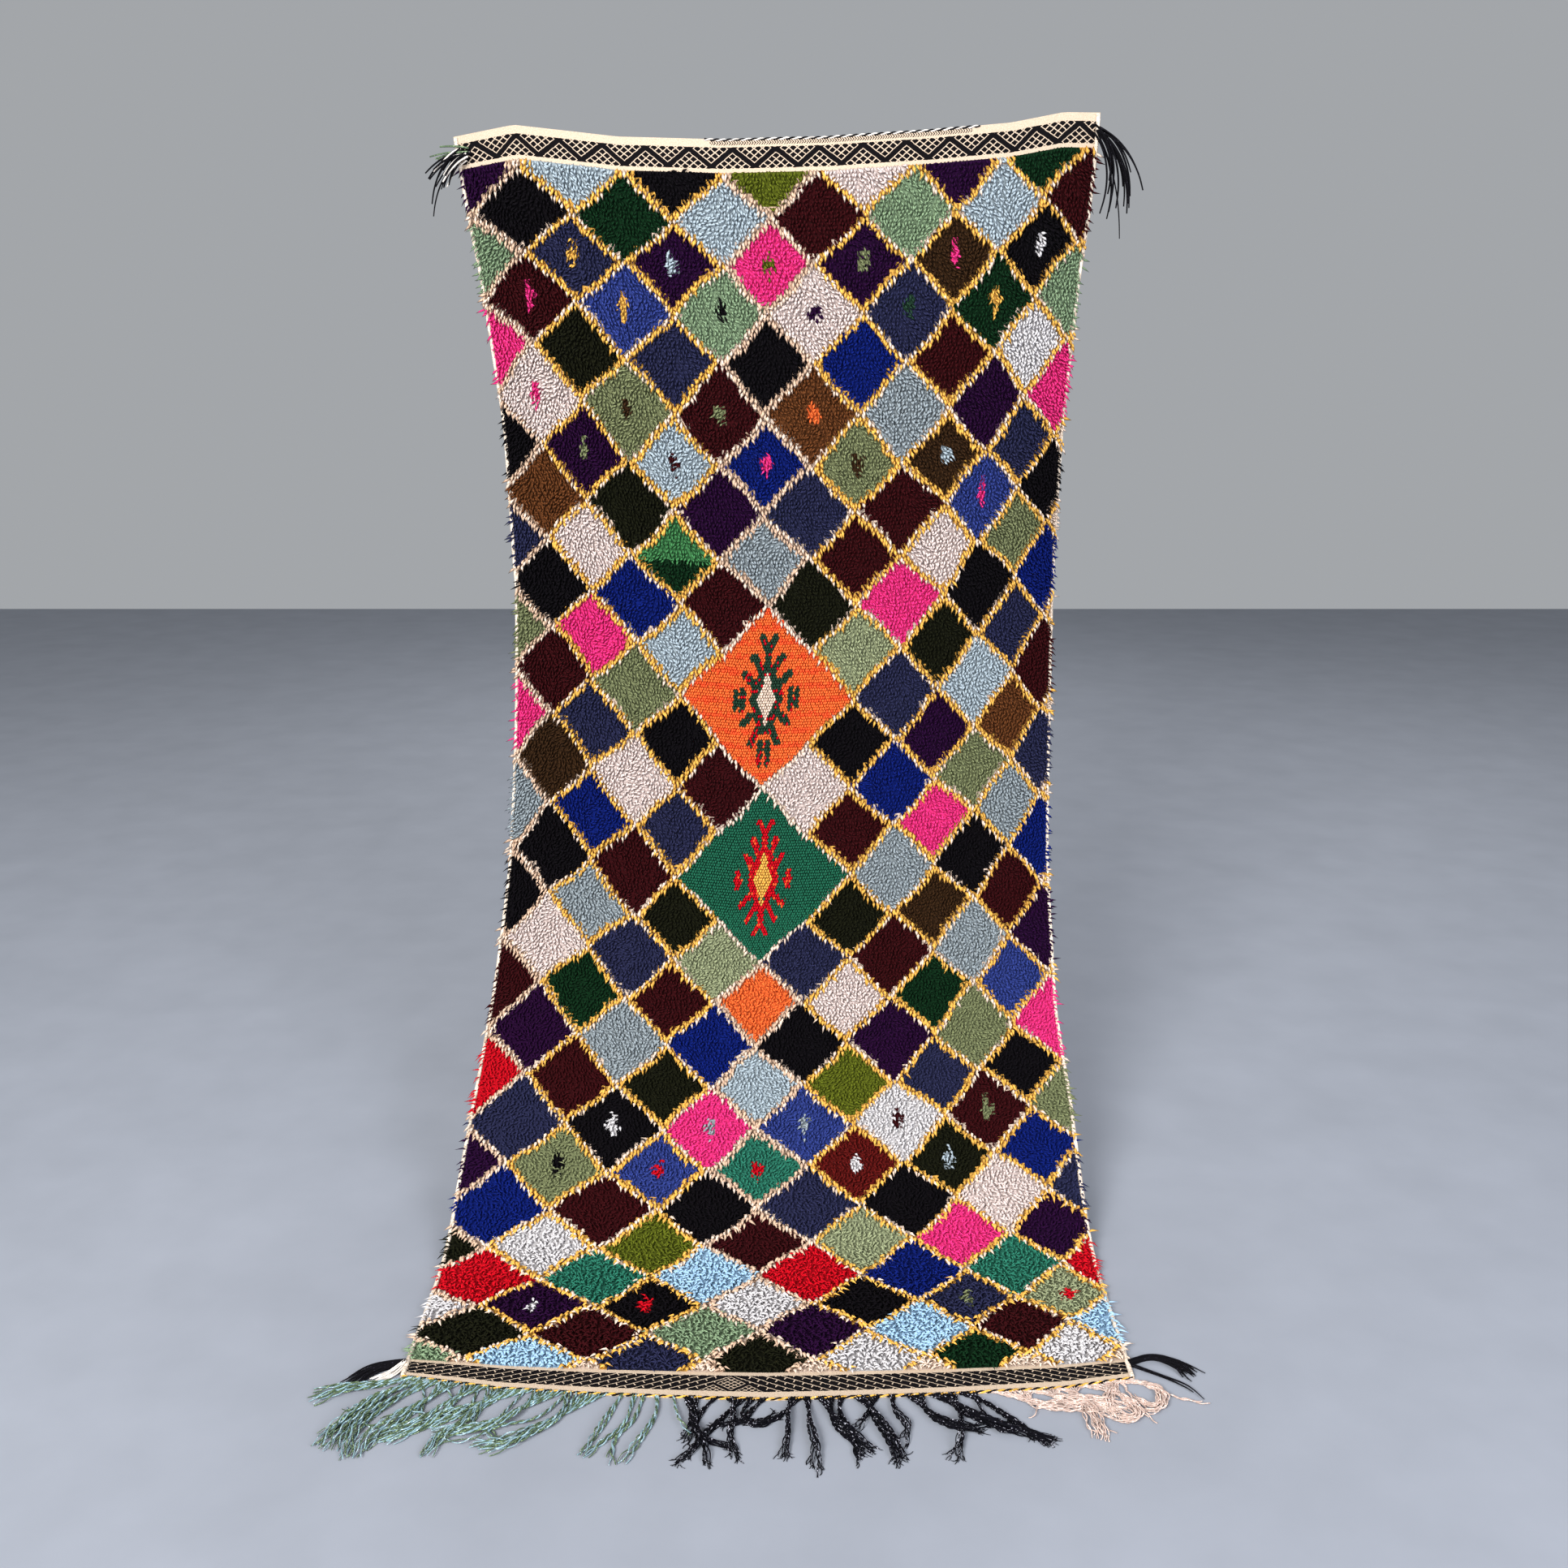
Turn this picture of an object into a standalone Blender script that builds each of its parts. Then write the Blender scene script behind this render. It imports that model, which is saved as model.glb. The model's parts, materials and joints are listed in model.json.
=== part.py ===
"""A knotted-pile Moroccan rug, held up by its top edge, with its lower end and fringe on the floor.

Metres, +Z up, pile side towards -Y. The origin is the middle of the top edge.
The rug is made flat and then draped: a runs across it, s down it from the top
edge and w out of it towards the pile side.
"""
import math

import bpy
import bmesh
import numpy as np
from mathutils import Vector

CLOTH_WIDTH = 1.240
CLOTH_LENGTH = 2.740
HALF = CLOTH_WIDTH / 2
TOP_KILIM = 0.058            # flat-woven end at the top, to the first knots
BOTTOM_KILIM = 0.068         # flat-woven end at the foot
KILIM_THICK = 0.004
SELVEDGE = 0.012             # overcast edge down each side
SELVEDGE_THICK = 0.006
PILE_THICK = 0.014           # cloth and pile together
PILE_LUMPS = 0.002
LOCK_REACH = 0.007           # how far locks of pile lie over the selvedge
GAP = 0.0003                 # between pieces that touch
TOUCH = 0.0002               # cloth this near the floor lies on it

# How the cloth falls: distance down it, lean from plumb (towards the front),
# and how far round the left and right edges curl back, in degrees.
FALL = [
    # down   lean  left  right
    (0.00,    2.5,   5,    3),
    (0.30,   -4.0,  24,   29),
    (0.60,   -3.5,  32,   43),
    (0.90,   -2.0,  27,   50),
    (1.20,    7.5,  30,   41),
    (1.50,   19.0,  31,   34),
    (1.80,   32.0,  24,   19),
    (2.00,   46.5,  10,    4),
    (2.20,   55.0,   0,    0),
    (2.42,   90.0,   0,    0),
    (2.95,   90.0,   0,    0),
]
# The cloth sags between the two held corners: place across it, how far its
# threads drop at the top edge and at the waist, 1.5 m down.
SAG = [
    # across  top    waist
    (-0.625, 0.042, 0.034),
    (-0.50,  0.022, 0.028),
    (-0.30,  0.045, 0.082),
    (-0.10,  0.051, 0.102),
    (0.10,   0.046, 0.093),
    (0.30,   0.033, 0.066),
    (0.45,   0.019, 0.034),
    (0.55,   0.000, 0.013),
    (0.625,  0.000, 0.000),
]
# How much of each column holds: distance down, top, waist.
SAG_SHARE = [(0.00, 1.00, 0.00), (0.70, 0.45, 0.30), (1.50, 0.00, 1.00),
             (2.30, 0.00, 0.25), (2.60, 0.00, 0.12), (2.95, 0.00, 0.12)]
# The foot's last stretch is drawn up towards its corners: place across, how far.
FOOT_BOW = [(-0.62, 0.053), (-0.45, 0.022), (-0.25, 0.011), (0.00, 0.000),
            (0.30, 0.010), (0.50, 0.022), (0.62, 0.045)]
FOOT_STRETCH = 0.16
# How far the cloth's middle wanders sideways: distance down, how far.
SWAY = [(0.00, 0.000), (0.90, 0.043), (1.80, -0.011), (2.70, -0.012)]
CURL_POWER = 1.5             # how the curl gathers towards an edge

GRID_ACROSS = 26
PILE_START = TOP_KILIM + 0.002
PILE_END = CLOTH_LENGTH - BOTTOM_KILIM - 0.002
PILE_STEP = 0.008            # over which the pile's thickness rises and falls
# Rows of the cloth's grid: row number, distance down the cloth.
GRID_DOWN = [(0, 0.0), (1, PILE_START - PILE_STEP), (2, PILE_START),
             (52, PILE_END), (53, PILE_END + PILE_STEP), (55, CLOTH_LENGTH)]

STRIP = 0.007                # backing strip that the fringe hangs from
CORD = 0.0045                # width of a cord of the fringe
CORD_THICK = 0.0036
TAPER = 0.45                 # how much thinner a strand is at its tip
STRAND_PARTS = 5             # stretches of each strand
# The fringe, by section: node, its ends across the cloth, strands.
FRINGE = [
    ("fringe_sage", -0.598, -0.172, 22),
    ("fringe_indigo", -0.158, 0.352, 26),
    ("fringe_cream", 0.366, 0.604, 12),
]
# How its strands lie on the floor: place across the cloth, heading from
# straight ahead (left is negative), length.
LIE = [
    (-0.60, -62, 0.180),
    (-0.52, -56, 0.190),
    (-0.40, -52, 0.215),
    (-0.30, -50, 0.200),
    (-0.22, -30, 0.170),
    (-0.17, -20, 0.150),
    (-0.10, -12, 0.140),
    (0.00, -4, 0.145),
    (0.10, 8, 0.140),
    (0.20, 16, 0.135),
    (0.30, 34, 0.145),
    (0.36, 44, 0.160),
    (0.40, 30, 0.080),
    (0.50, 18, 0.110),
    (0.61, 40, 0.105),
]

# Tassels that hang at the upper corners: node, side, strands, their length, and
# how far from plumb they start and end, in degrees.
TASSELS_UP = [
    ("tassel_top_left", -1, 8, 0.095, 82, 30),
    ("tassel_top_right", 1, 9, 0.125, 64, 6),
]
# Tassels that lie on the floor at the lower corners: node, side, strands, their
# length, and their heading from straight ahead, in degrees.
TASSELS_DOWN = [
    ("tassel_bottom_left", -1, 8, 0.105, 76),
    ("tassel_bottom_right", 1, 8, 0.120, 72),
]
TASSEL_HEAD = 0.022          # length, width and thickness of a tassel's head
TASSEL_WIDTH = 0.029
TASSEL_THICK = 0.013
TASSEL_DROP = 0.022          # from the top edge down to an upper tassel
TASSEL_RISE = 0.065          # from the lower end up to a lower one
STRAND = 0.0032


def column(table, which):
    return [row[0] for row in table], [row[which] for row in table]


def look_up(table, at, which=1):
    xs, ys = column(table, which)
    return float(np.interp(at, xs, ys))


# The cloth's middle line, worked out once every 2 mm.
LINE = np.linspace(-0.1, 3.2, 1651)
STEP = LINE[1] - LINE[0]


def smoothed(which, reach=41):
    xs, ys = column(FALL, which)
    v = np.interp(LINE, xs, ys)
    padded = np.concatenate([np.full(reach // 2, v[0]), v, np.full(reach // 2, v[-1])])
    return np.radians(np.convolve(padded, np.ones(reach) / reach, mode="valid"))


LEAN = smoothed(1)
CURL_LEFT = smoothed(2)
CURL_RIGHT = smoothed(3)
DOWN = np.concatenate([[0], np.cumsum(-0.5 * STEP * (np.cos(LEAN[1:]) + np.cos(LEAN[:-1])))])
AHEAD = np.concatenate([[0], np.cumsum(-0.5 * STEP * (np.sin(LEAN[1:]) + np.sin(LEAN[:-1])))])


def sheet_point(a, s):
    """A point of the cloth's back face, before the frame is moved to the top edge."""
    along = (s + look_up(SAG, a, 1) * look_up(SAG_SHARE, s, 1)
             + look_up(SAG, a, 2) * look_up(SAG_SHARE, s, 2)
             - look_up(FOOT_BOW, a) * min(1.0, max(0.0, 1 - (CLOTH_LENGTH - s) / FOOT_STRETCH)))
    lean = np.interp(along, LINE, LEAN)
    curl = np.interp(along, LINE, CURL_LEFT if a < 0 else CURL_RIGHT)
    p = CURL_POWER
    c = curl * (abs(a) / HALF) ** p
    # The first terms of the sums of cosine and sine along the curled half.
    out = abs(a) * (1 - c ** 2 / (2 * (2 * p + 1)) + c ** 4 / (24 * (4 * p + 1)))
    back = abs(a) * (c / (p + 1) - c ** 3 / (6 * (3 * p + 1)) + c ** 5 / (120 * (5 * p + 1)))
    x = math.copysign(out, a) + look_up(SWAY, s)
    y = np.interp(along, LINE, AHEAD) + back * math.cos(lean)
    z = np.interp(along, LINE, DOWN) - back * math.sin(lean)
    return Vector((float(x), float(y), float(z)))


FLOOR = float(DOWN.min())
TOP_MIDDLE = sheet_point(0.0, 0.0)


def drape(a, s, w=0.0):
    """The cloth at (a, s), w out from its back face. On the floor it is level."""
    here = sheet_point(a, s)
    near = 2 * STEP
    across = sheet_point(a + near, s) - sheet_point(a - near, s)
    down = sheet_point(a, s + near) - sheet_point(a, s - near)
    out = down.cross(across).normalized()
    place = here + out * w - TOP_MIDDLE
    if here.z < FLOOR + TOUCH:
        place.z = FLOOR - TOP_MIDDLE.z + w
    return place


FLOOR_LEVEL = FLOOR - TOP_MIDDLE.z

for old in list(bpy.data.objects):
    bpy.data.objects.remove(old, do_unlink=True)
rug_parts = bpy.data.collections.new("moroccan_rug")
bpy.context.scene.collection.children.link(rug_parts)


def wool(name, colour, roughness=0.9):
    material = bpy.data.materials.new(name)
    material.use_nodes = True
    surface = material.node_tree.nodes["Principled BSDF"]
    surface.inputs["Base Color"].default_value = (*colour, 1.0)
    surface.inputs["Roughness"].default_value = roughness
    surface.inputs["Metallic"].default_value = 0.0
    return material


def finish(bm, name, material):
    if bm.calc_volume(signed=True) < 0:
        bmesh.ops.reverse_faces(bm, faces=bm.faces)
    mesh = bpy.data.meshes.new(name)
    bm.to_mesh(mesh)
    bm.free()
    mesh.materials.append(material)
    piece = bpy.data.objects.new(name, mesh)
    rug_parts.objects.link(piece)
    return piece


def slab_grid(across, along):
    """A flat grid one unit thick, whose corners are whole numbers."""
    bm = bmesh.new()
    bmesh.ops.create_grid(bm, x_segments=across, y_segments=along, size=0.5)
    for v in bm.verts:
        v.co.x = round((v.co.x + 0.5) * across)
        v.co.y = round((v.co.y + 0.5) * along)
    top = bmesh.ops.extrude_face_region(bm, geom=bm.faces[:])["geom"]
    for v in top:
        if isinstance(v, bmesh.types.BMVert):
            v.co.z = 1.0
    bmesh.ops.recalc_face_normals(bm, faces=bm.faces)
    return bm


def lump(i, j):
    """A steady scatter from -1 to 1 for the pile's unevenness."""
    return math.sin(i * 12.9898 + j * 78.233) * math.cos(i * 4.1 - j * 2.7)


def make_rug():
    bm = slab_grid(GRID_ACROSS, GRID_DOWN[-1][0])
    first, last = GRID_DOWN[1][0], GRID_DOWN[-2][0]
    for v in bm.verts:
        i, j, top = int(v.co.x), int(v.co.y), v.co.z > 0.5
        side = -1 if i < GRID_ACROSS / 2 else 1
        edge = min(i, GRID_ACROSS - i)
        a = np.interp(i, [0, 1, GRID_ACROSS - 1, GRID_ACROSS],
                      [-HALF, -HALF + SELVEDGE, HALF - SELVEDGE, HALF])
        s = look_up(GRID_DOWN, j)
        w = 0.0
        if top:
            piled = first < j < last
            w = KILIM_THICK
            if piled and edge == 0:
                w = SELVEDGE_THICK
            elif piled:
                w = PILE_THICK + PILE_LUMPS * lump(i, j)
                if edge == 1:
                    a += side * LOCK_REACH * (j % 2)
        v.co = drape(float(a), s, w)
    return finish(bm, "rug", wool("knotted_wool", (0.16, 0.12, 0.13)))


def grow(bm, face, path, up, thick, wide):
    """Extrudes one face along a path, keeping it a strand of four sides."""
    centre = face.calc_center_median()
    ahead = (path[0] - centre).normalized()
    side = ahead.cross(up).normalized()
    lift = side.cross(ahead).normalized()
    for k, point in enumerate(path):
        onward = path[k + 1] - point if k + 1 < len(path) else point - (path[k - 1] if k else centre)
        to_side = onward.normalized().cross(up).normalized()
        to_lift = to_side.cross(onward.normalized()).normalized()
        new = bmesh.ops.extrude_discrete_faces(bm, faces=[face])["faces"][0]
        taper = 1.0 - TAPER * (k + 1) / len(path)
        for v in new.verts:
            r = 1 if (v.co - centre).dot(side) > 0 else -1
            h = 1 if (v.co - centre).dot(lift) > 0 else -1
            v.co = point + to_side * (r * wide * taper / 2) + to_lift * (h * thick * taper / 2)
        face, centre, side, lift = new, point, to_side, to_lift


def make_fringe(name, start, end, count, material):
    """A backing strip just past the rug's end, and strands that lie on the floor."""
    pitch = (end - start) / (count - 1)
    bm = slab_grid(2 * count - 1, 1)
    fronts = []
    for face in bm.faces:
        xs = [v.co.x for v in face.verts]
        if all(v.co.y > 0.5 for v in face.verts) and min(xs) != max(xs) and int(min(xs)) % 2 == 0:
            fronts.append((int(min(xs)) // 2, face))
    fronts.sort(key=lambda item: item[0])
    for v in bm.verts:
        station, front, top = int(v.co.x), v.co.y > 0.5, v.co.z > 0.5
        a = start + (station // 2) * pitch + (CORD / 2 if station % 2 else -CORD / 2)
        v.co = drape(a, CLOTH_LENGTH + GAP + (STRIP if front else 0.0), CORD_THICK if top else 0.0)
    for index, face in fronts:
        a = start + index * pitch
        heading = math.radians(look_up(LIE, a, 1) + 2.5 * math.sin(index * 2.1))
        length = look_up(LIE, a, 2) * (0.92 + 0.08 * math.cos(index * 1.7))
        point = face.calc_center_median()
        path = []
        for k in range(STRAND_PARTS):
            wave = math.radians(7) * math.sin(k * 1.5 + a * 9)
            turn = heading * min(1.0, 0.45 + 0.4 * k) + wave
            point = point + Vector((math.sin(turn), -math.cos(turn), 0)) * (length / STRAND_PARTS)
            thick = CORD_THICK * (1.0 - TAPER * (k + 1) / STRAND_PARTS)
            path.append(Vector((point.x, point.y, FLOOR_LEVEL + thick / 2)))
        grow(bm, face, path, Vector((0, 0, 1)), CORD_THICK, CORD)
    return finish(bm, name, material)


def side_edge(side, stations, axis):
    """How far out the rug's side reaches, at levels along one axis."""
    points = []
    for s in stations:
        both = [drape(side * HALF, s, w) for w in (0.0, KILIM_THICK)]
        points.append(max(both, key=lambda p: side * p.x))
    points.sort(key=lambda p: p[axis])
    return [p[axis] for p in points], [side * p.x for p in points]


def make_tassel(name, side, place, out, up, paths, count, edge, axis, material):
    """A small bound head beside the rug's edge, with strands that grow from it."""
    columns = (count + 1) // 2
    bm = slab_grid(columns * 2 - 1, 3)
    ends = []
    for face in bm.faces:
        x, y, z = (min(v.co[k] for v in face.verts) for k in range(3))
        if z > 0.5 and int(x) % 2 == 0 and int(y) % 2 == 0:
            ends.append((int(x) // 2 + columns * (int(y) // 2), face))
    ends.sort(key=lambda item: item[0])
    cross = out.cross(up).normalized()
    for v in bm.verts:
        x, y, z = v.co.x / (columns * 2 - 1) - 0.5, v.co.y / 3 - 0.5, v.co.z
        v.co = place + cross * (x * TASSEL_WIDTH) + up * (y * TASSEL_THICK) + out * (z * TASSEL_HEAD)
    nearest = min(side * v.co.x - float(np.interp(v.co[axis], *edge)) for v in bm.verts)
    bmesh.ops.translate(bm, verts=bm.verts, vec=(side * (GAP - nearest), 0, 0))
    for index, face in ends[:count]:
        grow(bm, face, paths(index, face.calc_center_median()), up, STRAND, STRAND)
    return finish(bm, name, material)


def hanging_paths(side, length, first, last):
    def paths(index, point):
        route = []
        reach = length * (0.80 + 0.25 * math.cos(index * 2.3))
        for k in range(STRAND_PARTS):
            turn = math.radians(first + (last - first) * ((k + 1) / STRAND_PARTS) ** 0.7)
            forward = -0.05 + 0.10 * math.sin(index * 1.9)
            ahead = Vector((side * math.sin(turn), forward, -math.cos(turn))).normalized()
            point = point + ahead * (reach / STRAND_PARTS)
            route.append(point)
        return route
    return paths


def floor_paths(side, length, heading):
    def paths(index, point):
        route = []
        reach = length * (0.85 + 0.15 * math.cos(index * 2.3))
        low = FLOOR_LEVEL + STRAND * 0.6 + (2 * STRAND if index >= 4 else 0.0)
        start = point.z
        for k in range(STRAND_PARTS):
            turn = math.radians(heading - 5 * k)
            point = point + Vector((side * math.sin(turn), -math.cos(turn), 0)) * (reach / STRAND_PARTS)
            route.append(Vector((point.x, point.y, start + (low - start) * min(1.0, (k + 1) / 3))))
        return route
    return paths


def make_tassels(material):
    for name, side, count, length, first, last in TASSELS_UP:
        turn = math.radians(first)
        out = Vector((side * math.sin(turn), 0, -math.cos(turn)))
        place = drape(side * HALF, TASSEL_DROP, KILIM_THICK / 2)
        edge = side_edge(side, [0.0, PILE_START - PILE_STEP], 2)
        make_tassel(name, side, place, out, Vector((0, 1, 0)),
                    hanging_paths(side, length, first, last), count, edge, 2, material)
    for name, side, count, length, heading in TASSELS_DOWN:
        turn = math.radians(heading)
        out = Vector((side * math.sin(turn), -math.cos(turn), 0))
        place = drape(side * HALF, CLOTH_LENGTH - TASSEL_RISE)
        place.z = FLOOR_LEVEL + TASSEL_THICK / 2
        edge = side_edge(side, [look_up(GRID_DOWN, row) for row in (51, 52, 53, 54, 55)], 1)
        make_tassel(name, side, place, out, Vector((0, 0, 1)),
                    floor_paths(side, length, heading), count, edge, 1, material)


make_rug()
colours = {
    "fringe_sage": (0.33, 0.43, 0.40),
    "fringe_indigo": (0.03, 0.03, 0.06),
    "fringe_cream": (0.83, 0.70, 0.62),
}
for name, start, end, count in FRINGE:
    make_fringe(name, start, end, count, wool(name + "_yarn", colours[name]))
make_tassels(wool("tassel_yarn", (0.03, 0.03, 0.03)))
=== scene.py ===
# %% [markdown]
# # A knotted-pile Moroccan rug
# The rug hangs by its top edge, curls back a little along its sides and turns
# forward on to the floor. It is a wool pile of about sixty-six thousand knots
# in a diamond lattice, with a flat-woven band at each end, overcast sides, a
# corded fringe and loose yarns at the corners. This lesson first hangs the
# cloth, then ties the pile on it knot by knot, and finishes the edges last.

import json
import math

import bmesh
import bpy
import numpy as np
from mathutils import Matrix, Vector

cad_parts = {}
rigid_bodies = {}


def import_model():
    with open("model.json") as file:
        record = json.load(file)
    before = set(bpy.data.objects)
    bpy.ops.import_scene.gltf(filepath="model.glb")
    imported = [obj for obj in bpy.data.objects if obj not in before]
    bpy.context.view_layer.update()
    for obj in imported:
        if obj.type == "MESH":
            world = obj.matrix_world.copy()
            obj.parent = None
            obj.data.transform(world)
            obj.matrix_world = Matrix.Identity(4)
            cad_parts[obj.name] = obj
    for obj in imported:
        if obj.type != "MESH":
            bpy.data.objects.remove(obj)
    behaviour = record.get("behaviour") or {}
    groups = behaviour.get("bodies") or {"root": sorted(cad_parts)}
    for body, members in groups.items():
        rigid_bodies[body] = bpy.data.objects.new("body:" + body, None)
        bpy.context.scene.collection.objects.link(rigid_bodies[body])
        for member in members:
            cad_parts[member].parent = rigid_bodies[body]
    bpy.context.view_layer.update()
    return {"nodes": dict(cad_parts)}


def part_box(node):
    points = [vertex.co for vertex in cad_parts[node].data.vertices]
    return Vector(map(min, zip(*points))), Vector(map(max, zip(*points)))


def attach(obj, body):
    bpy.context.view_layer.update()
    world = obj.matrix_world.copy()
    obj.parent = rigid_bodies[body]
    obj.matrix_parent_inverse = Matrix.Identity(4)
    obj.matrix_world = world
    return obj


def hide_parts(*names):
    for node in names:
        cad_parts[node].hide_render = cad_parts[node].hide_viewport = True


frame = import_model()
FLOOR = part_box("rug")[0].z
print("nodes:", sorted(frame["nodes"]))

# %% [markdown]
# ## How the cloth hangs
# The cloth was woven flat, 1.24 m by 2.74 m. Blender could drape it by
# simulation, but a rug this stiff has only slow, wide bends, so one function
# does it: it takes a place on the flat cloth and gives the place in the room.
# a runs across the rug, s runs down it from the top edge, and w is how far out
# of the cloth a yarn stands, towards the pile side. All later pieces are made
# flat in a, s and w and put in place by this one function.

# %% The fall of the cloth
WIDTH = 1.240
LENGTH = 2.740
HALF = WIDTH / 2
TOP_BAND = 0.058
BOTTOM_BAND = 0.068
PILE_START = TOP_BAND + 0.002
PILE_END = LENGTH - BOTTOM_BAND - 0.002

# Down the cloth: distance, lean towards the front, and curl of each side, in degrees.
FALL = np.array([
    (0.00, 2.5, 5, 3),
    (0.30, -4.0, 24, 29),
    (0.60, -3.5, 32, 43),
    (0.90, -2.0, 27, 50),
    (1.20, 7.5, 30, 41),
    (1.50, 19.0, 31, 34),
    (1.80, 32.0, 24, 19),
    (2.00, 46.5, 10, 4),
    (2.20, 55.0, 0, 0),
    (2.42, 90.0, 0, 0),
    (2.95, 90.0, 0, 0),
])
# Across the cloth: how far its threads drop at the top edge and at the waist.
SAG = np.array([
    (-0.625, 0.042, 0.034),
    (-0.50, 0.022, 0.028),
    (-0.30, 0.045, 0.082),
    (-0.10, 0.051, 0.102),
    (0.10, 0.046, 0.093),
    (0.30, 0.033, 0.066),
    (0.45, 0.019, 0.034),
    (0.55, 0.000, 0.013),
    (0.625, 0.000, 0.000),
])
# Down the cloth: how much of each drop holds.
SAG_SHARE = np.array([(0.00, 1.00, 0.00), (0.70, 0.45, 0.30), (1.50, 0.00, 1.00),
                      (2.30, 0.00, 0.25), (2.60, 0.00, 0.12), (2.95, 0.00, 0.12)])
# Across the cloth: how much shorter it is than at the middle, over the last FOOT_STRETCH of it.
FOOT_BOW = np.array([(-0.62, 0.053), (-0.45, 0.022), (-0.25, 0.011), (0.00, 0.000),
                     (0.30, 0.010), (0.50, 0.022), (0.62, 0.045)])
FOOT_STRETCH = 0.16
# Down the cloth: how far its middle has swayed to the right.
SWAY = np.array([(0.00, 0.000), (0.90, 0.043), (1.80, -0.011), (2.70, -0.012)])
# A higher power keeps the curl nearer the sides.
CURL_POWER = 1.5


def look_up(table, at, which=1):
    """Reads one column of a table at any place between its rows."""
    return np.interp(at, table[:, 0], table[:, which])


print("the cloth is", WIDTH, "by", LENGTH, "m, with pile from", PILE_START, "to", round(PILE_END, 3))

# %% The middle line
LINE = np.linspace(-0.1, 3.2, 1651)
STEP = LINE[1] - LINE[0]


def smoothed(which, reach=41):
    """One column of the fall in radians, every 2 mm, with its corners rounded."""
    values = look_up(FALL, LINE, which)
    ends = np.concatenate([np.full(reach // 2, values[0]), values, np.full(reach // 2, values[-1])])
    return np.radians(np.convolve(ends, np.ones(reach) / reach, mode="valid"))


def summed(slopes):
    """Where the line is at each of its points, from its slopes. Down and to the front are negative."""
    return np.concatenate([[0.0], np.cumsum(-0.5 * STEP * (slopes[1:] + slopes[:-1]))])


LEAN = smoothed(1)
CURL_LEFT = smoothed(2)
CURL_RIGHT = smoothed(3)
DOWN = summed(np.cos(LEAN))
AHEAD = summed(np.sin(LEAN))


def hang(a, s):
    """The cloth's back face at (a, s), before the top edge's middle is moved to the origin."""
    along = (s + look_up(SAG, a, 1) * look_up(SAG_SHARE, s, 1)
             + look_up(SAG, a, 2) * look_up(SAG_SHARE, s, 2)
             - look_up(FOOT_BOW, a) * np.clip(1 - (LENGTH - s) / FOOT_STRETCH, 0, 1))
    lean = np.interp(along, LINE, LEAN)
    curl = np.where(a < 0, np.interp(along, LINE, CURL_LEFT), np.interp(along, LINE, CURL_RIGHT))
    p = CURL_POWER
    c = curl * (np.abs(a) / HALF) ** p
    out = np.abs(a) * (1 - c ** 2 / (2 * (2 * p + 1)) + c ** 4 / (24 * (4 * p + 1)))
    back = np.abs(a) * (c / (p + 1) - c ** 3 / (6 * (3 * p + 1)) + c ** 5 / (120 * (5 * p + 1)))
    x = np.sign(a) * out + look_up(SWAY, s)
    y = np.interp(along, LINE, AHEAD) + back * np.cos(lean)
    z = np.interp(along, LINE, DOWN) - back * np.sin(lean)
    return np.stack([x, y, z], axis=-1)


TOP = hang(np.zeros(1), np.zeros(1))[0]
TOUCHING = 0.0002
LIES = DOWN.min() + TOUCHING


def cloth_frame(a, s):
    """At each (a, s): the place on the back face, and the directions across, down and out."""
    here = hang(a, s)
    near = 2 * STEP
    across = hang(a + near, s) - hang(a - near, s)
    down = hang(a, s + near) - hang(a, s - near)
    across /= np.linalg.norm(across, axis=-1, keepdims=True)
    down /= np.linalg.norm(down, axis=-1, keepdims=True)
    out = np.cross(down, across)
    lying = here[..., 2] < LIES
    out[lying] = (0.0, 0.0, 1.0)
    place = here - TOP
    place[lying, 2] = FLOOR
    return place, across, down, out


def drape(a, s, w=0.0):
    """The place in the room of a place on the flat cloth, w out of it towards the pile side."""
    a, s, w = np.broadcast_arrays(np.asarray(a, float), np.asarray(s, float), np.asarray(w, float))
    place, across, down, out = cloth_frame(a, s)
    return place + out * w[..., None]


foot = drape(0.0, LENGTH)
print("the middle of the foot lies at", np.round(foot, 3), "with the floor at", round(FLOOR, 3))

# %% [markdown]
# ## The camera, the floor and the light
# The photograph was taken from eye height, about three metres away and tilted
# down, so the camera is set from that. The floor is plain and grey, and large
# soft lights stand in for an overcast sky.

# %% Camera
EYE_HEIGHT = 1.684
EYE_BACK = 3.209
EYE_SIDE = 0.0167
TILT = 15.74
camera_data = bpy.data.cameras.new("view_camera")
camera_data.lens = 36.0
camera_data.sensor_width = 36.0
camera_data.dof.use_dof = False
camera = bpy.data.objects.new("view_camera", camera_data)
camera.location = (EYE_SIDE, -EYE_BACK, FLOOR + EYE_HEIGHT)
camera.rotation_euler = (math.radians(90 - TILT), 0.0, 0.0)
bpy.context.scene.collection.objects.link(camera)
bpy.context.scene.camera = camera
print("camera at", [round(value, 3) for value in camera.location], "tilted down", TILT, "degrees")

# %% Colours and nodes
# Wool, cotton and plaster bend light about as much as each other. Their rough fibres and grains
# scatter it, so little of it shines.
FIBRE_IOR = 1.54
DULL = 0.10


def colour(hex_text):
    """An sRGB hex value as the linear colour that Blender mixes with."""
    parts = [int(hex_text[k:k + 2], 16) / 255 for k in (1, 3, 5)]
    return (*[p / 12.92 if p <= 0.04045 else ((p + 0.055) / 1.055) ** 2.4 for p in parts], 1.0)


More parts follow.
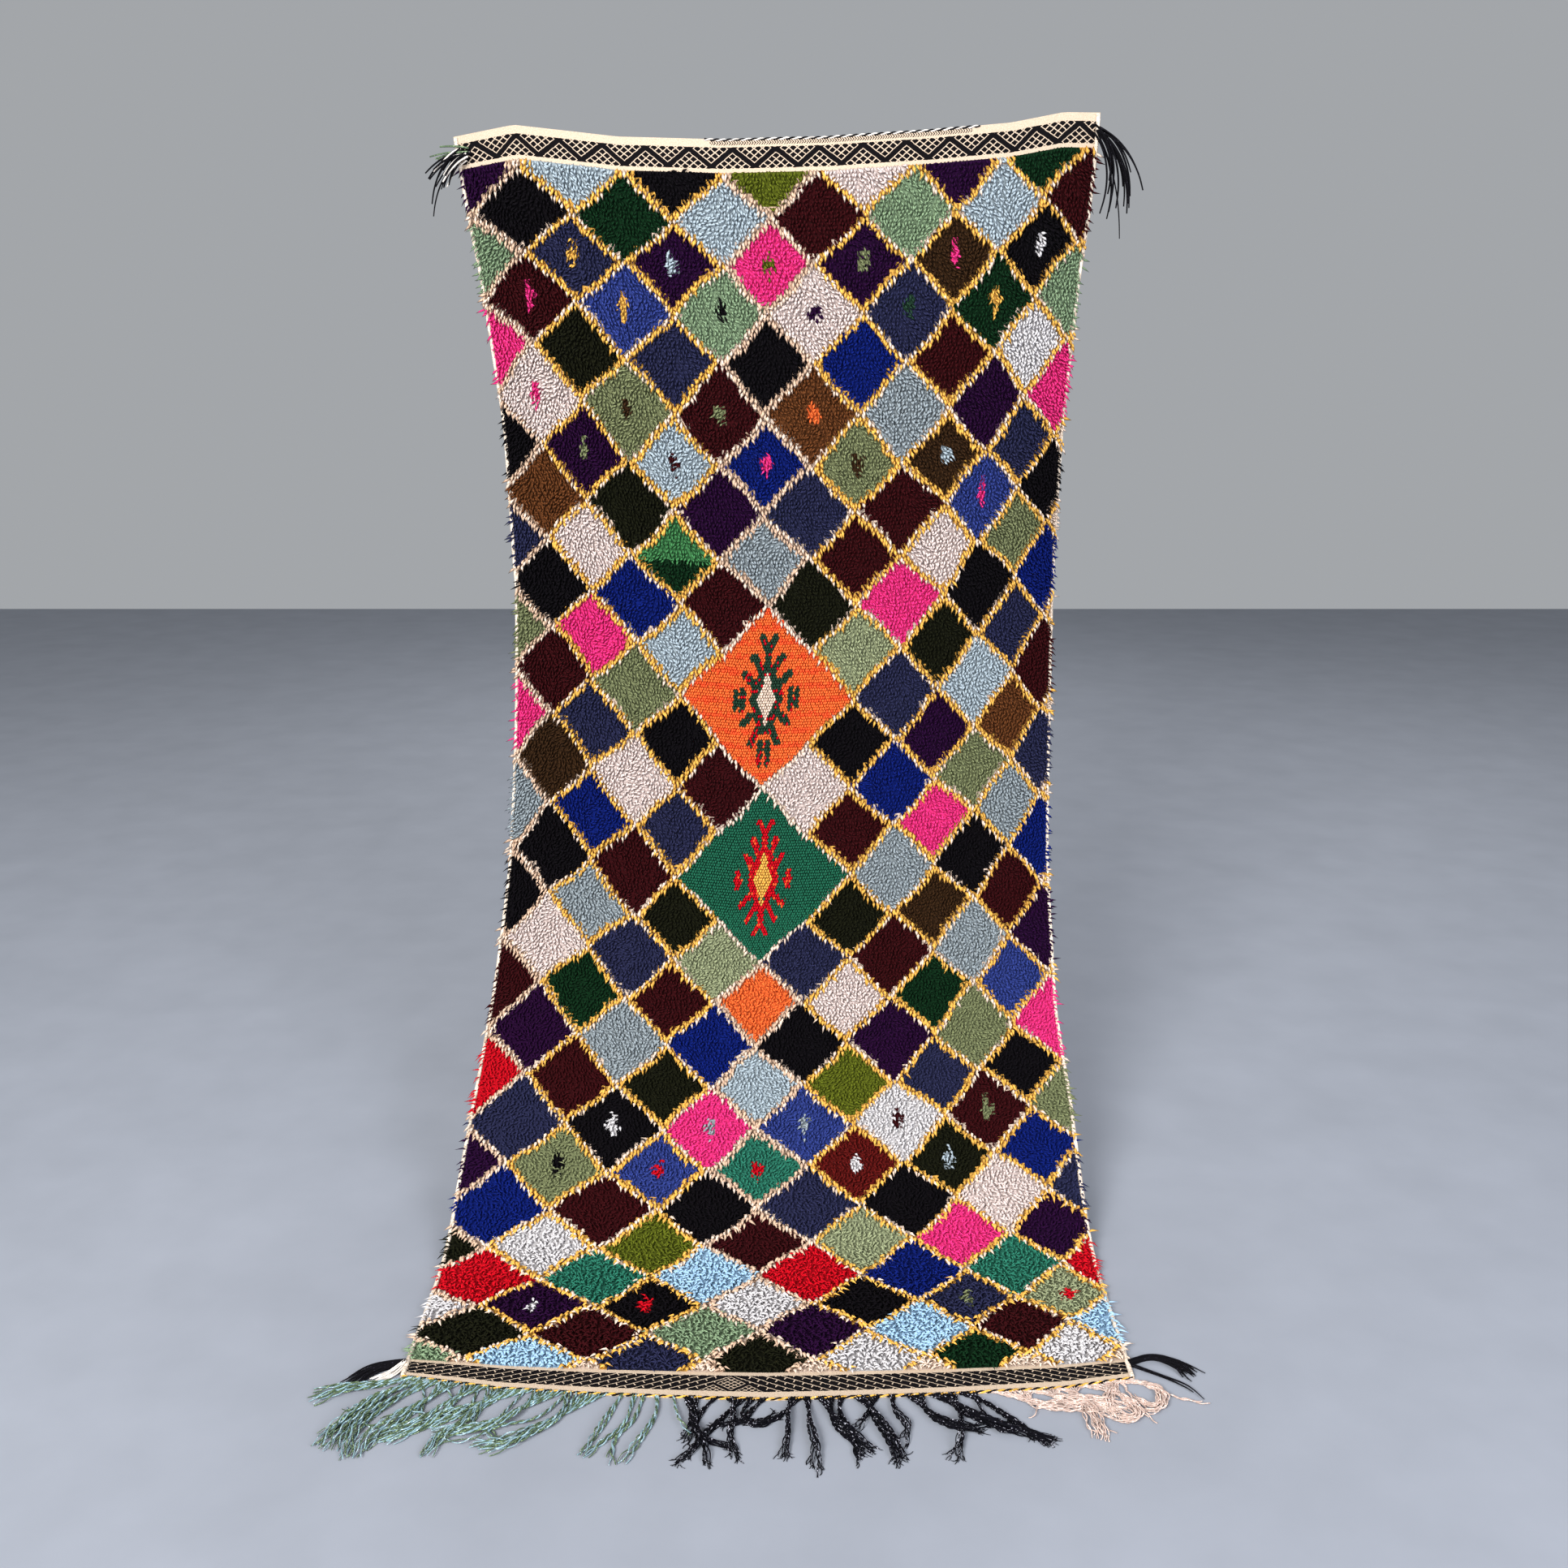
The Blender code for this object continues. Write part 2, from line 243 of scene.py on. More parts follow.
def add(material, kind, inputs=None, **settings):
    """Adds one node, sets its options, and sets or links its sockets."""
    node = material.node_tree.nodes.new(kind)
    for name, value in settings.items():
        setattr(node, name, value)
    for name, value in (inputs or {}).items():
        if isinstance(value, bpy.types.Node):
            value = next(output for output in value.outputs if output.enabled)
        if isinstance(value, bpy.types.NodeSocket):
            material.node_tree.links.new(value, node.inputs[name])
        else:
            node.inputs[name].default_value = value
    return node


def new_finish(name, roughness):
    """A material with its Principled surface, ready for more nodes."""
    material = bpy.data.materials.new(name)
    material.use_nodes = True
    surface = material.node_tree.nodes["Principled BSDF"]
    surface.inputs["Roughness"].default_value = roughness
    surface.inputs["Metallic"].default_value = 0.0
    surface.inputs["IOR"].default_value = FIBRE_IOR
    surface.inputs["Specular IOR Level"].default_value = DULL
    return material, surface


print("sRGB #808080 is", round(colour("#808080")[0], 3), "in linear light")

# %% Floor and light
# Limewashed plaster: cool grey and matt, with a faint mottle a hand wide.
plaster, surface = new_finish("limewashed_plaster", 0.9)
place = add(plaster, "ShaderNodeTexCoord")
mottle = add(plaster, "ShaderNodeTexNoise", {"Vector": place.outputs["Object"], "Scale": 6.0, "Detail": 6.0})
shade = add(plaster, "ShaderNodeMix", {"Factor": mottle.outputs["Fac"], "A": colour("#83878f"),
                                       "B": colour("#90949d")}, data_type="RGBA")
plaster.node_tree.links.new(shade.outputs["Result"], surface.inputs["Base Color"])

FLOOR_SIZE = 14.0
FLOOR_GAP = 0.0004
bm = bmesh.new()
bmesh.ops.create_grid(bm, x_segments=1, y_segments=1, size=FLOOR_SIZE / 2)
bmesh.ops.translate(bm, verts=bm.verts, vec=(0, 0, FLOOR - FLOOR_GAP))
mesh = bpy.data.meshes.new("pale_floor")
bm.to_mesh(mesh)
bm.free()
mesh.materials.append(plaster)
floor = bpy.data.objects.new("pale_floor", mesh)
bpy.context.scene.collection.objects.link(floor)


def soft_light(name, place, towards, size, watts, tint):
    """A square light, turned to face a place."""
    data = bpy.data.lights.new(name, "AREA")
    data.shape = "SQUARE"
    data.size = size
    data.energy = watts
    data.color = colour(tint)[:3]
    lamp = bpy.data.objects.new(name, data)
    lamp.location = place
    lamp.rotation_euler = (Vector(towards) - Vector(place)).to_track_quat("-Z", "Y").to_euler()
    bpy.context.scene.collection.objects.link(lamp)


soft_light("sky_left", place=(-2.4, -5.2, 1.5), towards=(0, -0.2, -1.0), size=2.4, watts=620, tint="#ffffff")
soft_light("sky_right", place=(3.4, -4.6, 0.8), towards=(0, -0.2, -1.0), size=3.0, watts=300, tint="#f4f7ff")
soft_light("sky_back", place=(0.5, 3.6, 2.4), towards=(0, 0.2, -0.8), size=3.0, watts=150, tint="#ffffff")
SKY_STRENGTH = 0.45
world = bpy.data.worlds.new("overcast")
world.use_nodes = True
world.node_tree.nodes["Background"].inputs["Color"].default_value = colour("#e9edf2")
world.node_tree.nodes["Background"].inputs["Strength"].default_value = SKY_STRENGTH
bpy.context.scene.world = world
bpy.context.scene.view_settings.view_transform = "Standard"
print("floor", FLOOR_SIZE, "m wide and three soft lights are set")

# %% [markdown]
# ## The weaver's plan
# The diamonds stand in rows. The weaver kept no even spacing: a row is a little
# taller here and lower there, and its diamonds drift sideways. So the lattice is
# given by the distance of every second row down the cloth, the width of a
# diamond and where its middle falls. Each yarn then lists the diamonds that it
# fills, as row:place, with places counted from the middle line. Even rows have
# diamonds at whole places, odd rows at halves.

# %% Lattice
ROWS = np.arange(-2, 32, 2)
ROW_DOWN = np.array([-0.102, 0.062, 0.225, 0.410, 0.611, 0.796, 0.981, 1.164, 1.343,
                     1.527, 1.714, 1.908, 2.102, 2.286, 2.469, 2.637, 2.806])
# Row, width of a diamond, where its middle falls, how far the lines between the
# sides bow to the right, and how much they climb to the left.
LATTICE = np.array([
    (0, 0.185, -0.044, 0.031, -0.011),
    (4, 0.187, -0.055, 0.020, 0.015),
    (8, 0.183, -0.071, 0.011, 0.000),
    (12, 0.185, -0.062, 0.011, 0.013),
    (16, 0.183, -0.045, 0.010, 0.004),
    (20, 0.188, -0.047, 0.022, -0.007),
    (24, 0.201, -0.047, 0.026, -0.042),
    (28, 0.192, -0.054, 0.044, -0.024),
])
BOW_HALF = 0.60
# Half the width of each border, as a share of a diamond, and how far its line wanders.
CREAM_EDGE = 0.026
YELLOW_EDGE = 0.066
UNEVEN = 0.024


def lattice(a, s):
    """Oblique coordinates along the two ways that the lattice's lines run, one unit to a diamond."""
    row = np.interp(s, ROW_DOWN, ROWS)
    row = np.interp(s - look_up(LATTICE, row, 4) * a, ROW_DOWN, ROWS)
    bow = look_up(LATTICE, row, 3) * (1 - (a / BOW_HALF) ** 2)
    place = (a - look_up(LATTICE, row, 2) - bow) / look_up(LATTICE, row, 1)
    # Waves of four different lengths keep every line from being quite straight.
    drift = UNEVEN * (np.sin(23 * a + 3.1 * row) + np.sin(41 * s - 17 * a))
    waver = UNEVEN * (np.sin(29 * s + 11 * a) + np.sin(37 * a - 2.3 * row + 1.7))
    return place + row / 2 + drift, place - row / 2 + waver


def middle_of(row, place=0.0):
    """Where the middle of a diamond falls on the flat cloth."""
    a = look_up(LATTICE, row, 2) + look_up(LATTICE, row, 3) + place * look_up(LATTICE, row, 1)
    for _ in range(6):
        bow = look_up(LATTICE, row, 3) * (1 - (a / BOW_HALF) ** 2)
        a = look_up(LATTICE, row, 2) + bow + place * look_up(LATTICE, row, 1)
    return float(a), float(np.interp(row, ROWS, ROW_DOWN) + look_up(LATTICE, row, 4) * a)


# Yarn: sRGB colour, how much its strands differ, and the diamonds it fills.
YARNS = {
    "black": ("#050206", 0.5, "0:-1 1:-2.5 2:3 4:0 6:-3 7:3.5 9:-2.5 9:2.5 12:-1 12:1 15:-2.5 15:2.5"
              " 16:-3 19:0.5 20:3 21:-1.5 23:-0.5 23:1.5 26:-1 26:1"),
    "olive_black": ("#111203", 0.5, "4:-2 7:-1.5 9:0.5 10:2 16:-1 16:1 20:-1 22:2 24:-3 27:-2.5 28:0"),
    "maroon": ("#320307", 0.35, "1:0.5 1:3.5 3:-2.5 4:2 5:-0.5 7:1.5 8:1 9:-0.5 11:-2.5 11:3.5 13:-0.5 14:1"
               " 15:-1.5 16:3 17:1.5 18:-3 18:-1 20:-2 21:2.5 23:-1.5 24:0 27:-1.5 27:2.5"),
    "navy": ("#242643", 0.4, "2:-2 3:1.5 4:-1 6:3 7:0.5 8:-3 10:3 11:1.5 12:-2 13:3.5 14:-1 17:-1.5 17:0.5"
             " 20:2 21:-2.5 23:0.5 23:3.5 26:2 28:-1"),
    "purple": ("#210029", 0.45, "0:-3 0:2 2:-1 2:1 5:2.5 6:-2 7:-0.5 12:2 17:3.5 19:-2.5 19:1.5 22:-3 24:3"
               " 26:-2 27:0.5"),
    "dark_brown": ("#321e0b", 0.4, "2:2 6:2 13:-2.5 16:2"),
    "brown": ("#5e3518", 0.5, "5:0.5 7:-2.5 12:3"),
    "pink": ("#e23079", 0.45, "2:0 4:-3 5:3.5 9:1.5 10:-2 12:-3 14:2 19:3.5 21:-0.5 24:2"),
    "ivory": ("#d4c2bb", 0.3, "0:1 3:0.5 5:-2.5 8:-2 8:2 13:-1.5 13:0.5 17:-2.5 18:1 23:2.5"),
    "white": ("#cac6c6", 0.3, "4:3 21:1.5 24:-2 26:-3 26:0 28:1 28:3"),
    "light_blue": ("#a0adb4", 0.3, "1:-0.5 0:-2 1:2.5 6:-1 10:-1 11:2.5 20:0"),
    "sky_blue": ("#9abcd6", 0.3, "25:-0.5 27:1.5 27:3.5 28:-2"),
    "grey_blue": ("#8b9498", 0.3, "5:1.5 8:0 14:-3 14:3 15:1.5 16:-2 17:2.5 19:-1.5"),
    "sage": ("#747a55", 0.7, "5:-1.5 6:1 8:3 10:-3 11:-1.5 13:2.5 19:2.5 21:3.5 22:-2"),
    "pale_sage": ("#909773", 0.6, "10:1 17:-0.5 24:1 26:3"),
    "mint": ("#7b9170", 0.7, "3:-0.5 3:3.5 1:1.5 2:-3 27:-0.5 28:-3"),
    "royal": ("#041864", 0.5, "4:1 6:0 9:-1.5 9:3.5 13:1.5 14:-2 15:3.5 19:-0.5 22:3 23:-2.5 25:1.5"),
    "mid_blue": ("#2c3a7c", 0.5, "3:-1.5 7:2.5 18:3 21:0.5 22:-1"),
    "bottle_green": ("#052710", 0.5, "0:3 1:-1.5 3:2.5 18:-2 18:2 28:2"),
    "leaf_green": ("#3d7846", 0.6, "8:-1"),
    "teal_green": ("#276e59", 0.6, "22:0 25:-1.5 25:2.5"),
    "olive": ("#575f14", 0.6, "0:0 20:1 24:-1"),
    "rust": ("#560c09", 0.5, "22:1"),
    "orange": ("#e7672f", 0.35, "18:0"),
    "coral": ("#ee5429", 0.35, ""),
    "red": ("#bd0418", 0.4, "20:-3 25:-2.5 25:0.5 25:3.5"),
    "emerald": ("#1a5a42", 0.35, ""),
    "forest_green": ("#1f3a2a", 0.35, ""),
    "yellow": ("#dca54a", 0.6, ""),
    "cream": ("#dcc4b0", 0.6, ""),
    "fawn": ("#c9a98f", 0.6, ""),
}
NAMES = list(YARNS)
YARN = {name: k for k, name in enumerate(NAMES)}
plan = np.full((40, 20), YARN["cream"])
for name, (shade, spread, diamonds) in YARNS.items():
    for entry in diamonds.split():
        row, place = entry.split(":")
        plan[int(row) + 4, int(2 * float(place)) + 10] = YARN[name]
charted = sum(len(diamonds.split()) for shade, spread, diamonds in YARNS.values())
print("the plan holds", charted, "diamonds in", len(NAMES), "yarns")

# %% [markdown]
# ## Medallions and small centres
# Two large diamonds on the middle line, each four small ones in size, carry a
# lozenge with branches that step out of it up and down. Many small diamonds
# have a little cross of another yarn at their middle. Both are drawn as a
# weaver counts them, as short strokes from the middle outwards.

# %% Medallions
LOZENGE = (0.021, 0.052)
# One side of the branches: from, to, in millimetres from the middle, down positive, and half its width.
LEAFY = [
    ((27, 0), (4, -58), 6), ((27, 0), (4, 60), 6), ((0, -58), (0, -96), 6), ((2, -92), (14, -114), 5),
    ((12, -44), (24, -82), 6), ((24, -24), (38, -48), 6), ((53, -15), (53, 17), 5), ((46, 2), (59, 2), 5),
    ((24, 32), (44, 52), 6), ((13, 54), (30, 84), 6), ((0, 62), (0, 98), 6), ((2, 96), (14, 118), 5),
]
LEGGED = [
    ((27, 0), (5, -62), 10), ((27, 0), (5, 62), 9), ((0, -60), (0, -104), 7), ((2, -98), (13, -124), 6),
    ((13, -60), (29, -84), 8), ((31, -34), (46, -50), 8), ((50, -19), (50, 20), 6), ((64, -17), (64, 18), 5),
    ((50, 1), (64, 1), 6), ((31, 32), (46, 47), 8), ((15, 60), (28, 88), 8), ((8, 88), (9, 130), 6),
]
# Row of the middle, ground yarns, branch yarns, lozenge yarn, and branches.
MEDALLIONS = [
    (11, ("orange", "coral"), ("forest_green", "red"), "cream", LEGGED),
    (15, ("emerald", "emerald"), ("red", "coral"), "yellow", LEAFY),
]
# Small centres: row:place of the diamonds that each yarn's cross stands in.
CENTRES = {
    "yellow": "2:-2 3:-1.5 3:2.5",
    "light_blue": "2:-1 6:2 22:2",
    "olive": "2:0",
    "sage": "2:1 5:-0.5 6:-2 21:2.5 26:2",
    "pink": "2:2 3:-2.5 5:-2.5 6:0 7:2.5",
    "white": "2:3 21:-1.5 26:-2 22:1",
    "black": "3:-0.5 22:-2",
    "purple": "3:0.5",
    "forest_green": "3:1.5",
    "dark_brown": "5:-1.5 6:1",
    "orange": "5:0.5",
    "maroon": "6:-1 21:1.5",
    "grey_blue": "21:-0.5 21:0.5",
    "red": "22:-1 22:0 26:-1 26:3",
}
CENTRE_SIZE = (0.013, 0.028)
# Share of the knots of a branch that are in its first yarn.
MAIN_YARN = 0.85


def near_stroke(x, y, start, end, reach):
    """Which knots lie within reach of a straight stroke."""
    sx, sy = start
    dx, dy = end[0] - sx, end[1] - sy
    along = np.clip(((x - sx) * dx + (y - sy) * dy) / (dx * dx + dy * dy), 0, 1)
    return np.hypot(x - sx - along * dx, y - sy - along * dy) < reach


def medallion_yarn(x, y, ground, branch, lozenge, branches, chance):
    """The yarn of each knot of a medallion. The second ground yarn comes in ragged bands 30 mm apart."""
    yarn = np.where(np.sin(y * 210 + 0.6) + 1.2 * chance > 1.1, YARN[ground[1]], YARN[ground[0]])
    drawn = np.zeros(len(x), bool)
    for start, end, reach in branches:
        drawn |= near_stroke(np.abs(x) * 1000, y * 1000, start, end, reach)
    yarn[drawn] = np.where(chance < MAIN_YARN, YARN[branch[0]], YARN[branch[1]])[drawn]
    inner = np.abs(x) / LOZENGE[0] + np.abs(y) / LOZENGE[1] < 1
    yarn[inner] = YARN[lozenge]
    return yarn


def yarn_at(a, s, chance):
    """The yarn of each knot, and whether it is of a border or a medallion."""
    u, v = lattice(a, s)
    near_u, near_v = np.rint(u), np.rint(v)
    off = np.maximum(np.abs(u - near_u), np.abs(v - near_v))
    row = (near_u - near_v).astype(int)
    twice = (near_u + near_v).astype(int)
    yarn = plan[np.clip(row + 4, 0, 39), np.clip(twice + 10, 0, 19)].copy()
    odd = row % 2 == 1
    for middle, *_ in MEDALLIONS:
        inside = np.maximum(np.abs(u - middle / 2), np.abs(v + middle / 2))
        odd |= inside < 1
    border = off > 0.5 - np.where(odd, CREAM_EDGE, YELLOW_EDGE)
    # The wool of the leaf green diamond ran out, and it was ended in bottle green.
    below = (u - near_u) - (v - near_v) > 0.06 + 0.08 * chance
    yarn[(yarn == YARN["leaf_green"]) & below] = YARN["bottle_green"]
    medallion = np.zeros(len(a), bool)
    for middle, ground, branch, lozenge, branches in MEDALLIONS:
        inside = np.maximum(np.abs(u - middle / 2), np.abs(v + middle / 2))
        border &= ~(inside < 1 - CREAM_EDGE)
        medallion |= inside < 1 - CREAM_EDGE
        centre_a, centre_s = middle_of(middle)
        drawn = medallion_yarn(a - centre_a, s - centre_s, ground, branch, lozenge, branches, chance)
        yarn = np.where(inside < 1 - CREAM_EDGE, drawn, yarn)
    for name, diamonds in CENTRES.items():
        for entry in diamonds.split():
            centre_a, centre_s = middle_of(*(float(part) for part in entry.split(":")))
            x = np.abs(a - centre_a) / CENTRE_SIZE[0]
            y = np.abs(s - centre_s) / CENTRE_SIZE[1]
            # The cross is ragged: a knot near its edge is in it by chance.
            yarn = np.where((x + y < 0.55 + 0.75 * chance) & ~border, YARN[name], yarn)
    # On the middle line and by the left side the even diamonds are edged in fawn, elsewhere in yellow.
    on_middle = (np.abs(twice) <= 1) | (twice <= -6)
    even_yarn = np.where(on_middle, YARN["fawn"], YARN["yellow"])
    yarn = np.where(border, np.where(odd, YARN["cream"], even_yarn), yarn)
    return yarn, border, medallion


crosses = sum(len(diamonds.split()) for diamonds in CENTRES.values())
print(len(MEDALLIONS), "medallions and", crosses, "small centres")

# %% [markdown]
# ## The woven ground
# Under the pile is a firm cloth, wool weft on cotton warp, which shows on the
# back and at the two ends. A thin grid with a Solidify modifier is enough: its
# faces carry the colour of the knots tied through them, because a knotted rug
# shows its whole pattern, flatter and duller, on its back.

# %% Ground cloth
ACROSS = 100
DOWN_FACES = (6, 210, 7)
GROUND_THICK = 0.003


def grid_lines():
    """How far down the cloth each line of the grid is, with one line at each end of the pile."""
    cuts = [0.0, PILE_START, PILE_END, LENGTH]
    lines = [np.linspace(cuts[k], cuts[k + 1], DOWN_FACES[k] + 1)[:-1] for k in range(3)]
    return np.concatenate(lines + [[LENGTH]])


def to_piece(bm, name, *materials):
    """Makes the bmesh a piece of the rug that rides with it."""
    mesh = bpy.data.meshes.new(name)
    bm.to_mesh(mesh)
    bm.free()
    return from_mesh(mesh, name, *materials)


def from_mesh(mesh, name, *materials):
    """Makes the mesh a piece of the rug that rides with it."""
    for material in materials:
        mesh.materials.append(material)
    piece = bpy.data.objects.new(name, mesh)
    bpy.context.scene.collection.objects.link(piece)
    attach(piece, "root")
    return piece


KNOT_ACROSS = 0.0070
KNOT_DOWN = 0.0071


def knotted_ground(name, saturation, value):
    """Wool knots packed on a cotton warp: matt, and ribbed every 7 mm down the cloth, with painted shade
    where the knots meet.
    """
    material, surface = new_finish(name, 0.95)
    dye = add(material, "ShaderNodeAttribute", attribute_name="dye")
    where = add(material, "ShaderNodeUVMap", uv_map="cloth")
    ribs = add(material, "ShaderNodeMapping", {"Vector": where.outputs["UV"],
                                               "Scale": (1 / KNOT_ACROSS, 1 / KNOT_DOWN, 1.0)})
    knots = add(material, "ShaderNodeTexVoronoi", {"Vector": ribs.outputs["Vector"], "Scale": 1.0,
                                                   "Randomness": 0.35})
    # Painted shade: the colour darkens from each knot's middle to its edge, where the knots meet.
    shade = add(material, "ShaderNodeMapRange", {"Value": knots.outputs["Distance"], "From Min": 0.2,
                                                 "From Max": 0.7, "To Min": value, "To Max": 0.65 * value})
    dulled = add(material, "ShaderNodeHueSaturation", {"Color": dye.outputs["Color"], "Value": shade,
                                                       "Saturation": saturation})
    raised = add(material, "ShaderNodeBump", {"Height": knots.outputs["Distance"], "Strength": 0.9,
                                              "Distance": 0.0015}, invert=True)
    material.node_tree.links.new(dulled.outputs["Color"], surface.inputs["Base Color"])
    material.node_tree.links.new(raised.outputs["Normal"], surface.inputs["Normal"])
    return material


# The front is painted a little darker, as shade from the pile over it. The back is open to the light and a
# little faded.
ground_front = knotted_ground("knotted_wool_front", saturation=1.0, value=0.85)
ground_back = knotted_ground("knotted_wool_back", saturation=0.85, value=0.9)
print("knots every", 1000 * KNOT_ACROSS, "mm across and", 1000 * KNOT_DOWN, "mm down")

# %% [markdown]
# ## The flat-woven ends
# At both ends the weaver stopped knotting and wove a band flat, in black and
# undyed wool. The top band is a zigzag with a net in each of its triangles. The
# foot's band is black with slanted chains that turn round at a small net
# triangle. A band like this could be painted, but it is only straight lines at
# even spacing, so a few sums on the cloth's own coordinates draw it sharply.

# %% Flat-woven bands
# The top band's zigzag in metres: half its length, its height, where it starts down the cloth,
# and how far the band reaches past it, above and below.
ZIG = 0.0415
ZIG_TALL = 0.032
ZIG_TOP = 0.0175
BAND_EDGE = 0.003
# As shares of half a zigzag: half the width of its black line, then how far apart the net's
# lines are, and half their width.
ZIG_LINE = 0.19
NET_STEP = 0.395
NET_LINE = 0.034
# The foot's slanted chains: how far apart they are across and down, where their band starts,
# and how tall it is.
CHAIN_ACROSS = 0.028
CHAIN_DOWN = 0.0138
CHAIN_TOP = LENGTH - 0.061
CHAIN_TALL = 0.042
# Each chain is a rail with hooks. RAIL_LINE and HOOK_REACH are shares of the way to the next chain.
# HOOK is the distance between two hooks, and HOOK_LINE and HOOK_LEAN are shares of it.
RAIL_LINE = 0.10
HOOK = 0.0150
HOOK_LINE = 0.12
HOOK_LEAN = 0.4
HOOK_REACH = 0.58
# The net triangle where the chains turn round: its middle, half its width, and its own net's size.
APEX = -0.058
APEX_HALF = 0.064
APEX_NET = 0.030
APEX_NET_TALL = 0.021
# The herringbone: from one dark pick to the next, how much of that is dark, and the height of a
# leg. Then how far down it ends, its middle, and half its width.
HERRING_STEP = 0.0048
HERRING_DARK = 0.45
HERRING_TALL = 0.0035
HERRING_END = 0.0108
HERRING_MIDDLE = 0.125
HERRING_HALF = 0.250
# The threads of the weave in metres, and how far its lines wander.
THREAD_ACROSS = 0.0024
THREAD_DOWN = 0.0016
WANDER = 0.0022


def cloth_place(material):
    """The flat cloth's coordinates, each woven line wandering by up to a millimetre."""
    where = add(material, "ShaderNodeUVMap", uv_map="cloth")
    wander = add(material, "ShaderNodeTexNoise", {"Vector": where, "Scale": 160.0, "Detail": 1.0})
    spread = add(material, "ShaderNodeVectorMath", {0: wander.outputs["Color"], 1: (0.5, 0.5, 0.5)},
                 operation="SUBTRACT")
    small = add(material, "ShaderNodeVectorMath", {0: spread, "Scale": WANDER}, operation="SCALE")
    return add(material, "ShaderNodeVectorMath", {0: where, 1: small}, operation="ADD")


def net(material, place, wide, tall, start):
    """White nets between black lines that zigzag. Lines of one slant are two units apart."""
    white = black = 0.0
    for slant in (1, -1):
        along = add(material, "ShaderNodeVectorMath", {0: place, 1: (1 / wide, slant / tall, 0)},
                    operation="DOT_PRODUCT")
        far = add(material, "ShaderNodeMath", {0: along, 1: slant * start / tall}, operation="SUBTRACT")
        from_line = add(material, "ShaderNodeMath", {0: far, 1: 1.0}, operation="PINGPONG")
        from_middle = add(material, "ShaderNodeMath", {0: 1.0, 1: from_line}, operation="SUBTRACT")
        from_net = add(material, "ShaderNodeMath", {0: from_middle, 1: NET_STEP / 2}, operation="PINGPONG")
        thin = add(material, "ShaderNodeMath", {0: from_net, 1: NET_LINE}, operation="LESS_THAN")
        thick = add(material, "ShaderNodeMath", {0: from_line, 1: ZIG_LINE}, operation="LESS_THAN")
        white = add(material, "ShaderNodeMath", {0: white, 1: thin}, operation="MAXIMUM")
        black = add(material, "ShaderNodeMath", {0: black, 1: thick}, operation="MAXIMUM")
    return add(material, "ShaderNodeMath", {0: white, 1: black}, operation="SUBTRACT", use_clamp=True)


def finish_band(material, surface, place, pattern, top, bottom, picks=0.0):
    """Black wool at the picks and where the pattern is nought. Undyed wool where it is one, and outside."""
    down = add(material, "ShaderNodeSeparateXYZ", {"Vector": place}).outputs["Y"]
    before = add(material, "ShaderNodeMath", {0: down, 1: top}, operation="LESS_THAN")
    after = add(material, "ShaderNodeMath", {0: down, 1: bottom}, operation="GREATER_THAN")
    outside = add(material, "ShaderNodeMath", {0: before, 1: after}, operation="MAXIMUM")
    full = add(material, "ShaderNodeMath", {0: outside, 1: pattern}, operation="MAXIMUM")
    white = add(material, "ShaderNodeMath", {0: full, 1: picks}, operation="SUBTRACT", use_clamp=True)
    fleck = add(material, "ShaderNodeTexNoise", {"Vector": place, "Scale": 420.0, "Detail": 2.0})
    undyed = add(material, "ShaderNodeMix", {"Factor": fleck, "A": colour("#d3c2ac"), "B": colour("#a18870")},
                 data_type="RGBA")
    dark = add(material, "ShaderNodeMix", {"Factor": fleck, "A": colour("#030203"), "B": colour("#0d090c")},
               data_type="RGBA")
    shade = add(material, "ShaderNodeMix", {"Factor": white, "A": dark, "B": undyed}, data_type="RGBA")
    ribs = add(material, "ShaderNodeMapping", {"Vector": place,
                                               "Scale": (1 / THREAD_ACROSS, 1 / THREAD_DOWN, 1.0)})
    threads = add(material, "ShaderNodeTexVoronoi", {"Vector": ribs, "Scale": 1.0, "Randomness": 0.3})
    raised = add(material, "ShaderNodeBump", {"Height": threads, "Strength": 0.8, "Distance": 0.0006},
                 invert=True)
    material.node_tree.links.new(shade.outputs["Result"], surface.inputs["Base Color"])
    material.node_tree.links.new(raised.outputs["Normal"], surface.inputs["Normal"])


# Flat-woven wool, weft-faced: fine ribs 1.6 mm apart, matt, crisp where two colours meet.
top_band, surface = new_finish("flat_woven_zigzag", 0.95)
place = cloth_place(top_band)
parts = add(top_band, "ShaderNodeSeparateXYZ", {"Vector": place})
# A stretch of the webbing was woven with black and undyed yarn by turns, in a fine herringbone.
lean = add(top_band, "ShaderNodeMath", {0: parts.outputs["Y"], 1: HERRING_TALL}, operation="PINGPONG")
slanted = add(top_band, "ShaderNodeMath", {0: parts.outputs["X"], 1: lean}, operation="ADD")
turns = add(top_band, "ShaderNodeMath", {0: slanted, 1: 1 / HERRING_STEP}, operation="MULTIPLY")
step = add(top_band, "ShaderNodeMath", {0: turns}, operation="FRACT")
dark = add(top_band, "ShaderNodeMath", {0: step, 1: HERRING_DARK}, operation="LESS_THAN")
along = add(top_band, "ShaderNodeMath", {0: parts.outputs["X"], 1: HERRING_MIDDLE, 2: HERRING_HALF},
            operation="COMPARE")
above = add(top_band, "ShaderNodeMath", {0: parts.outputs["Y"], 1: HERRING_END}, operation="LESS_THAN")
stretch = add(top_band, "ShaderNodeMath", {0: along, 1: above}, operation="MULTIPLY")
picks = add(top_band, "ShaderNodeMath", {0: dark, 1: stretch}, operation="MULTIPLY")
finish_band(top_band, surface, place, net(top_band, place, ZIG, ZIG_TALL, ZIG_TOP),
            ZIG_TOP - BAND_EDGE, ZIG_TOP + ZIG_TALL + BAND_EDGE, picks)

